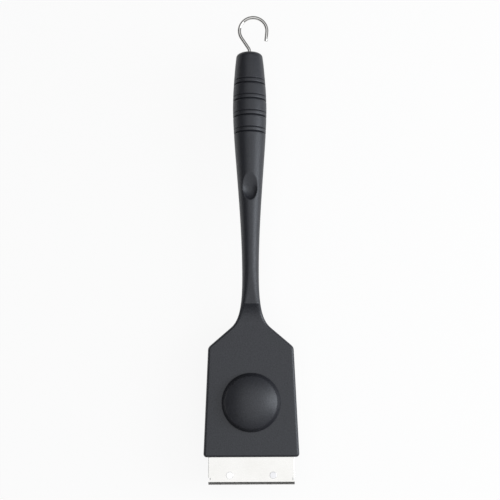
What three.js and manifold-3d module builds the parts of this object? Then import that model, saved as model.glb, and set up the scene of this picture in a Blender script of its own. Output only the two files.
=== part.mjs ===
// A grill brush: a moulded two-shell handle whose top shell flows into the flared head, a palm knob,
// a folded steel scraper, a screwed-on brush block with wire bristles and a swivelling wire hook.
// Millimetres. +Y runs along the handle to the hook and +Z out of the head's back.
// The bristle tips stand on Z = 0, and Y = 0 is half way between the scraper's lip and the hook's top.
import * as THREE from "three";
import { mergeVertices } from "three/addons/utils/BufferGeometryUtils.js";
import Module from "manifold-3d";

// Lengths along the brush
const SCRAPER_REACH = 25.8; // head's front edge to the scraper's lip
const HEAD_LENGTH = 145.2; // neck step to the head's front edge
const HANDLE_LENGTH = 248.1; // neck step to the handle's end
const HOOK_REACH = 37.9; // handle's end to the top of the hook

// Heights of the head
const BRISTLE_LENGTH = 27;
const BLOCK_THICKNESS = 10.8;
const PLATE_THICKNESS = 3.5;
const SKIRT_DEPTH = 13; // plate's top to the skirt's lower edge
const AXIS_BELOW_PLATE = 0.5; // handle's axis under the plate's top

// Clearances
const SEAT_GAP = 0.2; // between faces that seat on each other
const FIT_GAP = 0.35; // round screws, pins and other pieces in their holes
const BLOCK_GAP = 0.4; // round the brush block inside the skirt

// Handle sections, as full widths and depths, with their places along the handle
const END_WIDTH = 24.7;
const END_DEPTH = 24.7;
const END_ROUND = 4.5; // length of the rounded end
const END_INSET = 8; // how far the rounded end is drawn in
const GRIP_WIDTH = 32.9;
const GRIP_DEPTH = 31;
const GRIP_FROM_END = 55.4;
const NECK_WIDTH = 16.1;
const NECK_DEPTH = 18.4;
const NECK_FROM_STEP = 27.1;
const GRIP_FULLNESS = 1.8; // how full the grip stays towards its end
const TAPER_BIAS = 0.85; // how early the taper to the neck starts
const HANDLE_WALL = 2.2;
const ROUND_TAIL = 12; // neck to where the handle's section is fully round

// Ring grooves round the grip, in pairs
const GROOVE_PAIRS = 4;
const GROOVE_FROM_END = 28.3;
const GROOVE_PITCH = 16.2;
const GROOVE_SPACING = 4.2;
const GROOVE_WIDTH = 1.8;
const GROOVE_DEPTH = 0.8;

// Thumb recess, the mark of a tilted round-nosed bar sunk into the handle's crest
const RECESS_FROM_END = 138.6; // handle's end to the middle of the bar's nose
const RECESS_RADIUS = 14;
const RECESS_BAR = 40;
const RECESS_DEPTH = 4.7;
const RECESS_TILT = THREE.MathUtils.degToRad(20);

// Neck step and head outline, as full widths, with their distance from the neck step
const STEP_HEIGHT = 9;
const STEP_RUN = 22.5;
const STEP_EDGE_ROUND = 3;
const FLARE_LENGTH = 22.5;
const FLARE_WIDTH = 37.8;
const FLARE_EASE_NECK = 26;
const FLARE_EASE_SHOULDER = 8;
const SHOULDER_LENGTH = 18.7;
const SHOULDER_WIDTH = 81.2;
const SHOULDER_ROUND = 2.4;
const FRONT_WIDTH = 91.2;
const FRONT_ROUND = 3.3;
const PLATE_EDGE_ROUND = 2.5;
const SKIRT_WALL = 2.6;
const FRONT_WALL = 6.5;
const ROOT_WALL = 4; // head's rear wall, against which the bottom shell butts
const ROOT_FROM_STEP = 4.5;

// Palm knob
const KNOB_FROM_FRONT = 51.4;
const KNOB_BASE_DIAMETER = 56;
const KNOB_CAP_DIAMETER = 49.6;
const KNOB_WALL_HEIGHT = 7;
const KNOB_DOME_RISE = 7.4;
const KNOB_EDGE_ROUND = 1.2;
const KNOB_WALL = 2.6;

// Scraper, a folded steel sheet on the head's tongue
const SCRAPER_WIDTH = 81.7;
const SCRAPER_SHEET = 1.2;
const SCRAPER_BELOW_PLATE = 4.2;
const SCRAPER_TUCK = 5;
const LIP_DEPTH = 11;
const LIP_BEND = 3.4; // outer radius of the front bend
const SIDE_BEND = 1.9; // outer radius of the side bends
const SIDE_DEPTH = 4.6;
const CORNER_RELIEF = 2.2; // notch between a side flange and the lip
const TONGUE_THICKNESS = 5;
const RIVET_SPACING = 41.3;
const RIVET_FROM_LIP = 8.8;
const RIVET_HEAD = 6.6;
const RIVET_HEAD_FACE = 5.2;
const RIVET_HEAD_RISE = 0.9;
const RIVET_SHANK = 3;
const RIVET_TAIL = 5.6;
const RIVET_TAIL_FACE = 4.2;
const RIVET_TAIL_RISE = 1.4;

// Brush block and bristles
const STRIPS = 4;
const STRIP_LENGTH = 70;
const STRIP_THICKNESS = 1.6;
const FIELD_FROM_FRONT = 19.2; // head's front edge to the first strip
const FIELD_FROM_SCREW = 7.9; // last strip to the rear screws
const TUFT_ROWS = 3;
const TUFT_COLUMNS = 7;
const TUFT_PITCH = 10;
const STRANDS = 4;
const STRAND_SIDES = 3;
const STRAND_RADIUS = 0.7;
const TUFT_ROOT_RADIUS = 1.1;
const TUFT_TIP_RADIUS = 2.1;

// Screws, all of one self-tapping kind in three lengths
const SCREW_HEAD = 6.4;
const SCREW_HEAD_FACE = 4.4;
const SCREW_HEAD_HEIGHT = 2.2;
const SCREW_SHANK = 3;
const SCREW_POINT = 1.5;
const BOSS_WALL = 2.2;
const BLOCK_SCREW_LENGTH = 7.4;
const BLOCK_SCREW_SEAT = 2.6; // block's underside to the screw head's seat
const BLOCK_SCREW_FLOOR = 1.8; // block material under a boss
const FRONT_SCREW_SPACING = 68;
const FRONT_SCREW_FROM_FRONT = 13.9;
const REAR_SCREW_SPACING = 52;
const REAR_SCREW_FROM_SHOULDER = 2.1;
const KNOB_SCREW_LENGTH = 12;
const HANDLE_SCREW_LENGTH = 12;
const HANDLE_SCREW_SEAT = 6; // handle's axis to the screw head's seat
const END_SCREW_FROM_END = 38.6;
const MIDDLE_SCREW_FROM_RECESS = 22;
const NECK_SCREW_FROM_STEP = 17.5;

// Hook, a wire with an upset head trapped in the handle's end
const HOOK_WIRE = 3.4;
const HOOK_RADIUS = 13.55; // loop, on the wire's centre line
const HOOK_OFFSET = 3.75; // loop's centre beside the handle's axis
const HOOK_SLANT = THREE.MathUtils.degToRad(33);
const HOOK_BEND = 6;
const HOOK_TAIL = 10.5;
const HOOK_HEAD = 7;
const HOOK_HEAD_HEIGHT = 3;
const END_WALL = 6; // in front of the hook's head
const THRUST_WALL = 3; // behind the hook's head

// Facets
const ARC_STEPS = 6;
const ROUND_STEPS = 3;
const TAPER_STEPS = 12;
const NECK_STEPS = 4;
const FLARE_STEPS = 6;
const HOLLOW_STEPS = 18;
const DISH_SIDES = 32;
const DISH_STEPS = 6;
const SCREW_SIDES = 10;
const BORE_SIDES = 12;
const KNOB_SIDES = 36;
const DOME_STEPS = 7;
const WIRE_SIDES = 10;
const HOOK_STEPS = 52;
const BEND_STEPS = 5;
const MERGE_DISTANCE = 1e-4;
const OVERCUT = 1; // how far a cutter reaches past the face that it opens

// Places along Y
const lipY = -(SCRAPER_REACH + HEAD_LENGTH + HANDLE_LENGTH + HOOK_REACH) / 2;
const frontY = lipY + SCRAPER_REACH;
const stepY = frontY + HEAD_LENGTH;
const endY = stepY + HANDLE_LENGTH;
const hookTopY = endY + HOOK_REACH;
const gripY = endY - GRIP_FROM_END;
const neckY = stepY + NECK_FROM_STEP;
const stepFootY = stepY - STEP_RUN;
const flareY = stepY - FLARE_LENGTH;
const shoulderY = flareY - SHOULDER_LENGTH;
const rootY = stepY - ROOT_FROM_STEP;
const cavityRearY = rootY - ROOT_WALL;
const cavityFrontY = frontY + FRONT_WALL;
const knobY = frontY + KNOB_FROM_FRONT;
const rivetY = lipY + RIVET_FROM_LIP;
const recessY = endY - RECESS_FROM_END;
const frontScrewY = frontY + FRONT_SCREW_FROM_FRONT;
const rearScrewY = shoulderY - REAR_SCREW_FROM_SHOULDER;
const fieldFrontY = frontY + FIELD_FROM_FRONT;
const fieldRearY = rearScrewY - FIELD_FROM_SCREW;
const stripWidth = (fieldRearY - fieldFrontY - (STRIPS - 1) * SEAT_GAP) / STRIPS;

// Places along Z
const blockZ = BRISTLE_LENGTH;
const plateUnderZ = blockZ + BLOCK_THICKNESS + SEAT_GAP;
const plateZ = plateUnderZ + PLATE_THICKNESS;
const skirtZ = plateZ - SKIRT_DEPTH;
const axisZ = plateZ - AXIS_BELOW_PLATE;
const partingZ = axisZ - SEAT_GAP;
const scraperZ = plateZ - SCRAPER_BELOW_PLATE;
const tongueZ = scraperZ - SCRAPER_SHEET - SEAT_GAP;

const wasm = await Module();
wasm.setup();

const { clamp, lerp } = THREE.MathUtils;
const share = (value, from, to) => clamp((value - from) / (to - from), 0, 1);
const ease = (t) => t * t * (3 - 2 * t);
const roundOff = (radius, reach) => radius - Math.sqrt(Math.max(radius ** 2 - reach ** 2, 0));

// A closed geometry as a solid that can be cut and joined.
function solidOf(geometry) {
  const bare = new THREE.BufferGeometry();
  bare.setAttribute("position", geometry.getAttribute("position"));
  bare.setIndex(geometry.index);
  const merged = mergeVertices(bare, MERGE_DISTANCE);
  const corners = merged.index.array;
  const triVerts = [];
  for (let i = 0; i < corners.length; i += 3) {
    const [a, b, c] = corners.slice(i, i + 3);
    if (a !== b && b !== c && c !== a) triVerts.push(a, b, c);
  }
  return new wasm.Manifold(
    new wasm.Mesh({
      numProp: 3,
      vertProperties: merged.getAttribute("position").array,
      triVerts: new Uint32Array(triVerts),
    }),
  );
}

function geometryOf(solid) {
  const { vertProperties, triVerts } = solid.getMesh();
  const geometry = new THREE.BufferGeometry();
  geometry.setAttribute("position", new THREE.BufferAttribute(vertProperties, 3));
  geometry.setIndex(new THREE.BufferAttribute(triVerts, 1));
  geometry.computeVertexNormals();
  return geometry;
}

const joined = (solids) => solids.reduce((all, next) => all.add(next));
const cutBy = (solid, cutters) => cutters.reduce((left, cutter) => left.subtract(cutter), solid);

// A box between two corners.
function box(low, high) {
  const size = new THREE.Vector3().subVectors(high, low);
  const middle = new THREE.Vector3().addVectors(low, high).multiplyScalar(0.5);
  return solidOf(new THREE.BoxGeometry(size.x, size.y, size.z).translate(middle.x, middle.y, middle.z));
}

// An upright round bar between two heights.
function post(x, y, lowZ, highZ, radius) {
  const bar = new THREE.CylinderGeometry(radius, radius, highZ - lowZ, BORE_SIDES);
  return solidOf(bar.rotateX(Math.PI / 2).translate(x, y, (lowZ + highZ) / 2));
}

// A round bar along the handle's axis between two places along Y.
function axialBar(lowY, highY, radius, sides) {
  const bar = new THREE.CylinderGeometry(radius, radius, highY - lowY, sides);
  return solidOf(bar.translate(0, (lowY + highY) / 2, axisZ));
}

// A profile of radius and height pairs turned round an upright axis at the origin.
function turned(profile, sides) {
  const points = profile.map(([radius, height]) => new THREE.Vector2(radius, height));
  return new THREE.LatheGeometry(points, sides).rotateX(Math.PI / 2);
}

// An outline in X and Y raised between two heights.
function raised(points, lowZ, highZ) {
  const shape = new THREE.Shape(points.map(([x, y]) => new THREE.Vector2(x, y)));
  const settings = { depth: highZ - lowZ, bevelEnabled: false };
  return solidOf(new THREE.ExtrudeGeometry(shape, settings).translate(0, 0, lowZ));
}

// A closed surface through rings that lie one after the other along +Y, with flat ends.
function loft(rings) {
  const count = rings[0].length;
  const index = [];
  for (let r = 0; r + 1 < rings.length; r++)
    for (let i = 0; i < count; i++) {
      const a = r * count + i;
      const b = r * count + ((i + 1) % count);
      index.push(a, a + count, b + count, a, b + count, b);
    }
  const last = (rings.length - 1) * count;
  for (let i = 1; i + 1 < count; i++) {
    index.push(0, i, i + 1);
    index.push(last, last + i + 1, last + i);
  }
  const geometry = new THREE.BufferGeometry();
  geometry.setAttribute("position", new THREE.Float32BufferAttribute(rings.flat(2), 3));
  geometry.setIndex(index);
  return solidOf(geometry);
}

// Half-width of the flare between the neck and the straight shoulder, a cubic curve in plan.
function flareHalfWidth(y) {
  const slope = (SHOULDER_WIDTH - FLARE_WIDTH) / 2 / SHOULDER_LENGTH;
  const curve = new THREE.CubicBezierCurve(
    new THREE.Vector2(NECK_WIDTH / 2, neckY),
    new THREE.Vector2(NECK_WIDTH / 2, neckY - FLARE_EASE_NECK),
    new THREE.Vector2(FLARE_WIDTH / 2 - slope * FLARE_EASE_SHOULDER, flareY + FLARE_EASE_SHOULDER),
    new THREE.Vector2(FLARE_WIDTH / 2, flareY),
  );
  let [low, high] = [0, 1];
  for (let halving = 0; halving < 30; halving++) {
    const middle = (low + high) / 2;
    if (curve.getPoint(middle).y > y) low = middle;
    else high = middle;
  }
  return curve.getPoint(low).x;
}

// Half-width of the straight-sided head, its shoulder corner eased by a short parabola.
function headHalfWidth(y) {
  const shoulderSlope = (FLARE_WIDTH - SHOULDER_WIDTH) / 2 / SHOULDER_LENGTH;
  const sideSlope = (SHOULDER_WIDTH - FRONT_WIDTH) / 2 / (shoulderY - frontY);
  const past = y - shoulderY;
  const eased = (past ** 2 + SHOULDER_ROUND ** 2) / (2 * SHOULDER_ROUND);
  const bent = Math.abs(past) < SHOULDER_ROUND ? eased : Math.abs(past);
  return SHOULDER_WIDTH / 2 + ((shoulderSlope + sideSlope) * past + (shoulderSlope - sideSlope) * bent) / 2;
}

// A handle size that swells from the end to the grip and tapers to the neck.
function handleSize(y, atEnd, atGrip, atNeck) {
  if (y > gripY) return lerp(atGrip, atEnd, share(y, gripY, endY) ** GRIP_FULLNESS);
  return lerp(atGrip, atNeck, ease(share(y, gripY, neckY) ** TAPER_BIAS));
}

function halfWidth(y) {
  if (y >= neckY) return handleSize(y, END_WIDTH, GRIP_WIDTH, NECK_WIDTH) / 2;
  return y > flareY ? flareHalfWidth(y) : headHalfWidth(y);
}

// Half-width drawn in by a wall that is measured square to the outline.
function innerHalfWidth(y, wall) {
  const reach = 0.05;
  const slope = (halfWidth(y + reach) - halfWidth(y - reach)) / (2 * reach);
  return halfWidth(y) - wall * Math.hypot(1, slope);
}

// Height of the crest over the handle's axis: grip, neck, and the hollow step down to the plate.
function crestRise(y) {
  if (y >= neckY) return handleSize(y, END_DEPTH, GRIP_DEPTH, NECK_DEPTH) / 2;
  const stepRise = STEP_HEIGHT + AXIS_BELOW_PLATE;
  if (y >= stepY) return lerp(NECK_DEPTH / 2, stepRise, ease(share(y, neckY, stepY)));
  const hollow = (STEP_RUN ** 2 + STEP_HEIGHT ** 2) / (2 * STEP_HEIGHT);
  return AXIS_BELOW_PLATE + roundOff(hollow, Math.max(y - stepFootY, 0));
}

// Depth of the handle's belly under its axis, which runs down to the skirt at the head.
function bellyDrop(y) {
  if (y >= neckY) return handleSize(y, END_DEPTH, GRIP_DEPTH, NECK_DEPTH) / 2;
  return lerp(NECK_DEPTH / 2, axisZ - skirtZ, ease(share(y, neckY, rootY)));
}

// Roundness of the handle's section: 1 is an ellipse, 0 a flat crest with rounded edges.
const roundness = (y, flatY) => ease(share(y, flatY, neckY + ROUND_TAIL));

const grooveYs = [];
for (let pair = 0; pair < GROOVE_PAIRS; pair++)
  for (const side of [0, 1])
    grooveYs.push(endY - GROOVE_FROM_END - pair * GROOVE_PITCH - side * GROOVE_SPACING);

function grooveDepth(y) {
  const nearest = Math.min(...grooveYs.map((grooveY) => Math.abs(y - grooveY)));
  return GROOVE_DEPTH * Math.max(1 - (2 * nearest) / GROOVE_WIDTH, 0);
}

// One ring: half an outline with rounded corners standing on a base height, crown up or down.
function archRing(y, half, baseZ, crownZ, edgeX, edgeZ) {
  const side = Math.sign(crownZ - baseZ);
  const ring = [[half, y, baseZ]];
  for (let step = 0; step <= ARC_STEPS; step++) {
    const angle = (step / ARC_STEPS) * (Math.PI / 2);
    const x = half - edgeX * (1 - Math.cos(angle));
    ring.push([x, y, crownZ - side * edgeZ * (1 - Math.sin(angle))]);
  }
  const mirrored = ring.map(([x, , z]) => [-x, y, z]).reverse();
  const whole = [...ring, ...mirrored];
  return side > 0 ? whole : whole.reverse();
}

// Evenly spread places from one to the other, both ends included.
const spread = (from, to, count) =>
  Array.from({ length: count + 1 }, (_, i) => lerp(from, to, i / count));

// Places along the handle, from the neck to its end, close together where the form changes.
function handleYs() {
  const taperEndY = Math.min(...grooveYs) - GROOVE_WIDTH;
  const ringEndY = Math.max(...grooveYs) + GROOVE_WIDTH;
  const lips = grooveYs.flatMap((y) => [y - GROOVE_WIDTH / 2, y, y + GROOVE_WIDTH / 2]);
  return [...spread(neckY, taperEndY, TAPER_STEPS), ...lips, ...spread(ringEndY, endY - END_ROUND, 2)].sort(
    (a, b) => a - b,
  );
}

// Rings of one half of the handle from the neck up, with the rounded end.
function handleRings(baseZ, side, flatY) {
  const ring = (y, drawnIn) => {
    const half = halfWidth(y) - drawnIn;
    const rise = crestRise(y) - drawnIn;
    const edge = roundness(y, flatY);
    const crownZ = axisZ + side * rise;
    const edgeX = lerp(STEP_EDGE_ROUND, half, edge);
    const edgeZ = lerp(STEP_EDGE_ROUND, Math.abs(crownZ - baseZ), edge);
    return archRing(y, half, baseZ, crownZ, edgeX, edgeZ);
  };
  const rings = handleYs().map((y) => ring(y, grooveDepth(y)));
  for (let step = 1; step <= ROUND_STEPS; step++) {
    const angle = (step / ROUND_STEPS) * (Math.PI / 2);
    rings.push(ring(endY - END_ROUND * (1 - Math.sin(angle)), END_INSET * (1 - Math.cos(angle))));
  }
  return rings;
}

// Hollow inside one half of the handle, opening through the parting plane.
function handleHollow(lowY, side, flatY) {
  const highY = endY - END_WALL - HOOK_HEAD_HEIGHT - 2 * FIT_GAP - THRUST_WALL;
  const rise = side > 0 ? crestRise : bellyDrop;
  const baseZ = axisZ - side * OVERCUT;
  const rings = spread(lowY, highY, HOLLOW_STEPS).map((y) => {
    const half = halfWidth(y) - HANDLE_WALL;
    const reach = rise(y) - HANDLE_WALL;
    const edge = roundness(y, flatY);
    const edgeX = lerp(STEP_EDGE_ROUND, half, edge);
    return archRing(y, half, baseZ, axisZ + side * reach, edgeX, lerp(STEP_EDGE_ROUND, reach, edge));
  });
  return loft(rings);
}

// Bore and head pocket of the hook, which each shell gets half of.
function hookSeat() {
  const pocketY = endY - END_WALL;
  const bore = axialBar(pocketY - OVERCUT, endY + OVERCUT, HOOK_WIRE / 2 + FIT_GAP, BORE_SIDES * 2);
  const pocketDepth = HOOK_HEAD_HEIGHT + 2 * FIT_GAP;
  const pocket = axialBar(pocketY - pocketDepth, pocketY, HOOK_HEAD / 2 + FIT_GAP, BORE_SIDES * 2);
  return bore.add(pocket);
}

// Outline of the head drawn in by a wall, from its rear to its front, as X and Y pairs.
function innerOutline(wall, rearY, lastY) {
  const shoulderYs = [SHOULDER_ROUND, 0, -SHOULDER_ROUND].map((past) => shoulderY + past);
  const right = [...spread(rearY, flareY, 3), ...shoulderYs, lastY].map((y) => [innerHalfWidth(y, wall), y]);
  const left = right.map(([x, y]) => [-x, y]).reverse();
  return [...right, ...left];
}

const blockScrews = [
  { x: -FRONT_SCREW_SPACING / 2, y: frontScrewY },
  { x: FRONT_SCREW_SPACING / 2, y: frontScrewY },
  { x: -REAR_SCREW_SPACING / 2, y: rearScrewY },
  { x: REAR_SCREW_SPACING / 2, y: rearScrewY },
];
const handleScrewYs = [
  endY - END_SCREW_FROM_END,
  recessY - MIDDLE_SCREW_FROM_RECESS,
  stepY + NECK_SCREW_FROM_STEP,
];
const rivetXs = [-RIVET_SPACING / 2, RIVET_SPACING / 2];
const screwHole = SCREW_SHANK / 2 + FIT_GAP;
const screwPocket = SCREW_HEAD / 2 + FIT_GAP;
const bossRadius = screwHole + BOSS_WALL;
const blockSeatZ = blockZ + BLOCK_SCREW_SEAT;
const bossEndZ = blockSeatZ + BLOCK_SCREW_FLOOR + SEAT_GAP;
const handleSeatZ = axisZ - HANDLE_SCREW_SEAT;

// Outer form of the top shell: rings from the head's front edge to the handle's end.
function topForm() {
  const headRing = (y, drawnIn, crownDrop, baseZ) => {
    const half = halfWidth(y) - drawnIn;
    const crownZ = axisZ + crestRise(y) - crownDrop;
    const stretch = (halfWidth(y) - innerHalfWidth(y, PLATE_EDGE_ROUND)) / PLATE_EDGE_ROUND;
    const edge = PLATE_EDGE_ROUND - crownDrop;
    const toStep = share(y, stepFootY, stepY);
    const round = roundness(y, stepFootY);
    const edgeX = lerp(lerp(edge * stretch, STEP_EDGE_ROUND, toStep), half, round);
    const edgeZ = lerp(lerp(edge, STEP_EDGE_ROUND, toStep), crestRise(y), round);
    return archRing(y, half, baseZ, crownZ, edgeX, edgeZ);
  };
  const rings = [];
  for (let step = 0; step < ROUND_STEPS; step++) {
    const angle = (step / ROUND_STEPS) * (Math.PI / 2);
    const y = frontY + FRONT_ROUND * (1 - Math.cos(angle));
    const drop = roundOff(PLATE_EDGE_ROUND, Math.max(frontY + PLATE_EDGE_ROUND - y, 0));
    rings.push(headRing(y, FRONT_ROUND * (1 - Math.sin(angle)), drop, skirtZ));
  }
  const cornerYs = spread(shoulderY - SHOULDER_ROUND, shoulderY + SHOULDER_ROUND, ROUND_STEPS);
  const headYs = [frontY + FRONT_ROUND, ...cornerYs, ...spread(flareY, rootY, FLARE_STEPS)];
  rings.push(...headYs.map((y) => headRing(y, 0, 0, skirtZ)));
  rings.push(headRing(rootY, 0, 0, axisZ));
  rings.push(...spread(rootY, stepY, 2).slice(1).map((y) => headRing(y, 0, 0, axisZ)));
  const neckRings = spread(stepY, neckY, NECK_STEPS).slice(1, -1).map((y) => {
    const rise = crestRise(y);
    const edge = roundness(y, stepFootY);
    const edgeX = lerp(STEP_EDGE_ROUND, halfWidth(y), edge);
    return archRing(y, halfWidth(y), axisZ, axisZ + rise, edgeX, lerp(STEP_EDGE_ROUND, rise, edge));
  });
  return loft([...rings, ...neckRings, ...handleRings(axisZ, 1, stepFootY)]);
}

// The thumb recess, grown by a margin to give the wall behind it.
function thumbRecess(margin) {
  const bar = new THREE.CapsuleGeometry(RECESS_RADIUS + margin, RECESS_BAR, DISH_STEPS, DISH_SIDES);
  bar.translate(0, RECESS_BAR / 2, 0).rotateX(RECESS_TILT);
  return solidOf(bar.translate(0, recessY, axisZ + crestRise(recessY) + RECESS_RADIUS - RECESS_DEPTH));
}

// Top shell: plate, skirt and scraper tongue of the head, and the upper half of the handle.
function topShell() {
  const form = topForm();
  const handleBosses = handleScrewYs.map((y) => post(0, y, axisZ, axisZ + GRIP_DEPTH, bossRadius));
  const headBosses = blockScrews.map(({ x, y }) => post(x, y, bossEndZ, plateZ - OVERCUT, bossRadius));
  const hollows = [
    handleHollow(stepY + HANDLE_WALL, 1, stepFootY),
    raised(innerOutline(SKIRT_WALL, cavityRearY, cavityFrontY), skirtZ - OVERCUT, plateUnderZ),
  ];
  const inside = joined([thumbRecess(HANDLE_WALL), ...handleBosses, ...headBosses]).intersect(form);
  const tongueHalf = SCRAPER_WIDTH / 2 - SCRAPER_SHEET - SEAT_GAP;
  const tongueFrontY = lipY + LIP_BEND + SEAT_GAP;
  const tongue = box(
    new THREE.Vector3(-tongueHalf, tongueFrontY, tongueZ - TONGUE_THICKNESS),
    new THREE.Vector3(tongueHalf, frontY + FRONT_WALL / 2, tongueZ),
  );
  const slotHalf = SCRAPER_WIDTH / 2 - SIDE_BEND + SEAT_GAP;
  const slot = box(
    new THREE.Vector3(-slotHalf, frontY - OVERCUT, tongueZ),
    new THREE.Vector3(slotHalf, frontY + SCRAPER_TUCK + SEAT_GAP, scraperZ + SEAT_GAP),
  );
  const handlePilots = handleScrewYs.map((y) => {
    const depth = HANDLE_SCREW_LENGTH - HANDLE_SCREW_SEAT + FIT_GAP;
    return post(0, y, axisZ - OVERCUT, axisZ + depth, screwHole);
  });
  const headPilots = blockScrews.map(({ x, y }) =>
    post(x, y, bossEndZ - OVERCUT, blockSeatZ + BLOCK_SCREW_LENGTH + FIT_GAP, screwHole),
  );
  const knobHole = post(0, knobY, plateUnderZ - OVERCUT, plateZ + OVERCUT, screwHole);
  const rivetHoles = rivetXs.map((x) =>
    post(x, rivetY, tongueZ - TONGUE_THICKNESS - OVERCUT, tongueZ + OVERCUT, RIVET_SHANK / 2 + FIT_GAP),
  );
  const walls = cutBy(form, hollows).add(inside).add(tongue);
  const cuts = [thumbRecess(0), slot, hookSeat(), knobHole, ...handlePilots, ...headPilots, ...rivetHoles];
  return cutBy(walls, cuts);
}

// Bottom shell: the lower half of the handle, which butts against the head's rear wall.
function bottomShell() {
  const lowY = rootY + SEAT_GAP;
  const rootRings = spread(lowY, neckY, FLARE_STEPS).slice(0, -1).map((y) => {
    const drop = bellyDrop(y);
    const edge = roundness(y, lowY);
    const edgeX = lerp(STEP_EDGE_ROUND, halfWidth(y), edge);
    const edgeZ = lerp(STEP_EDGE_ROUND, drop - SEAT_GAP, edge);
    return archRing(y, halfWidth(y), partingZ, axisZ - drop, edgeX, edgeZ);
  });
  const form = loft([...rootRings, ...handleRings(partingZ, -1, lowY)]);
  const bosses = handleScrewYs.map((y) =>
    post(0, y, axisZ - GRIP_DEPTH, partingZ, screwPocket + BOSS_WALL),
  );
  const hollow = handleHollow(lowY + HANDLE_WALL, -1, lowY);
  const holes = handleScrewYs.flatMap((y) => [
    post(0, y, handleSeatZ - OVERCUT, axisZ, screwHole),
    post(0, y, axisZ - GRIP_DEPTH, handleSeatZ, screwPocket),
  ]);
  const walls = form.subtract(hollow).add(joined(bosses).intersect(form));
  return cutBy(walls, [hookSeat(), ...holes]);
}

// Self-tapping screw, head down: the head's seat is at the origin and the point is up.
function screw(length) {
  const head = SCREW_HEAD / 2;
  const shank = SCREW_SHANK / 2;
  return turned(
    [
      [0, -SCREW_HEAD_HEIGHT],
      [SCREW_HEAD_FACE / 2, -SCREW_HEAD_HEIGHT],
      [head, -SCREW_HEAD_HEIGHT / 2],
      [head, 0],
      [shank, 0],
      [shank, length - SCREW_POINT],
      [0, length],
    ],
    SCREW_SIDES,
  );
}

// Palm knob: a hollow domed cap with a drafted wall and a screw boss in its middle.
function knob() {
  const base = KNOB_BASE_DIAMETER / 2;
  const cap = KNOB_CAP_DIAMETER / 2;
  const dome = (cap ** 2 + KNOB_DOME_RISE ** 2) / (2 * KNOB_DOME_RISE);
  const rimHeight = KNOB_WALL_HEIGHT - KNOB_WALL;
  const pilotDepth = KNOB_SCREW_LENGTH - PLATE_THICKNESS - 2 * SEAT_GAP + FIT_GAP;
  const domeHeight = (radius, drop) => KNOB_WALL_HEIGHT + KNOB_DOME_RISE - drop - roundOff(dome, radius);
  const inner = spread(bossRadius, cap - KNOB_WALL, 3).map((radius) => [radius, domeHeight(radius, KNOB_WALL)]);
  const outer = spread(cap - KNOB_EDGE_ROUND, 0, DOME_STEPS).map((radius) => [radius, domeHeight(radius, 0)]);
  const wallRun = (base - cap) / KNOB_WALL_HEIGHT;
  const shoulder = [cap + wallRun * KNOB_EDGE_ROUND, KNOB_WALL_HEIGHT - KNOB_EDGE_ROUND];
  return turned(
    [
      [0, pilotDepth],
      [screwHole, pilotDepth],
      [screwHole, 0],
      [bossRadius, 0],
      ...inner,
      [cap - KNOB_WALL + wallRun * (KNOB_WALL_HEIGHT - rimHeight), rimHeight],
      [base - KNOB_WALL, 0],
      [base, 0],
      shoulder,
      ...outer,
    ],
    KNOB_SIDES,
  );
}

// A profile in Y and Z carried along X between two places.
function carriedAlongX(shape, lowX, highX) {
  const settings = { depth: highX - lowX, bevelEnabled: false, curveSegments: BEND_STEPS };
  const turn = new THREE.Matrix4().makeBasis(
    new THREE.Vector3(0, 1, 0),
    new THREE.Vector3(0, 0, 1),
    new THREE.Vector3(1, 0, 0),
  );
  return solidOf(new THREE.ExtrudeGeometry(shape, settings).applyMatrix4(turn).translate(lowX, 0, 0));
}

// A sheet bent down from flat: run is the flat's start, edge the bent face, both along the shape's X.
function bentSheet(run, edge, radius, topZ, depth) {
  const shape = new THREE.Shape();
  const side = Math.sign(edge - run);
  const inner = radius - SCRAPER_SHEET;
  const upright = side > 0 ? 0 : Math.PI;
  shape.moveTo(run, topZ);
  shape.lineTo(edge - side * radius, topZ);
  shape.absarc(edge - side * radius, topZ - radius, radius, Math.PI / 2, upright, side > 0);
  shape.lineTo(edge, topZ - depth);
  shape.lineTo(edge - side * SCRAPER_SHEET, topZ - depth);
  shape.lineTo(edge - side * SCRAPER_SHEET, topZ - radius);
  shape.absarc(edge - side * radius, topZ - radius, inner, upright, Math.PI / 2, side < 0);
  shape.lineTo(run, topZ - SCRAPER_SHEET);
  return shape;
}

// Scraper: top panel tucked under the head's edge, long front lip and two short side flanges.
function scraper() {
  const half = SCRAPER_WIDTH / 2;
  const panelHalf = half - SIDE_BEND;
  const lipStartY = lipY + LIP_BEND + CORNER_RELIEF / 2;
  const flangeLowY = lipStartY + CORNER_RELIEF;
  const flangeHighY = frontY - SEAT_GAP;
  const panel = box(
    new THREE.Vector3(-panelHalf, lipStartY - OVERCUT, scraperZ - SCRAPER_SHEET),
    new THREE.Vector3(panelHalf, frontY + SCRAPER_TUCK, scraperZ),
  );
  const lip = carriedAlongX(bentSheet(lipStartY, lipY, LIP_BEND, scraperZ, LIP_DEPTH), -half, half);
  const flanges = [-1, 1].map((side) => {
    const shape = bentSheet(side * (panelHalf - OVERCUT), side * half, SIDE_BEND, scraperZ, SIDE_DEPTH);
    const settings = { depth: flangeHighY - flangeLowY, bevelEnabled: false, curveSegments: BEND_STEPS };
    const flange = new THREE.ExtrudeGeometry(shape, settings).rotateX(Math.PI / 2);
    return solidOf(flange.translate(0, flangeHighY, 0));
  });
  const holes = rivetXs.map((x) =>
    post(x, rivetY, scraperZ - SCRAPER_SHEET - OVERCUT, scraperZ + OVERCUT, RIVET_SHANK / 2 + FIT_GAP),
  );
  return cutBy(joined([panel, lip, ...flanges]), holes);
}

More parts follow.
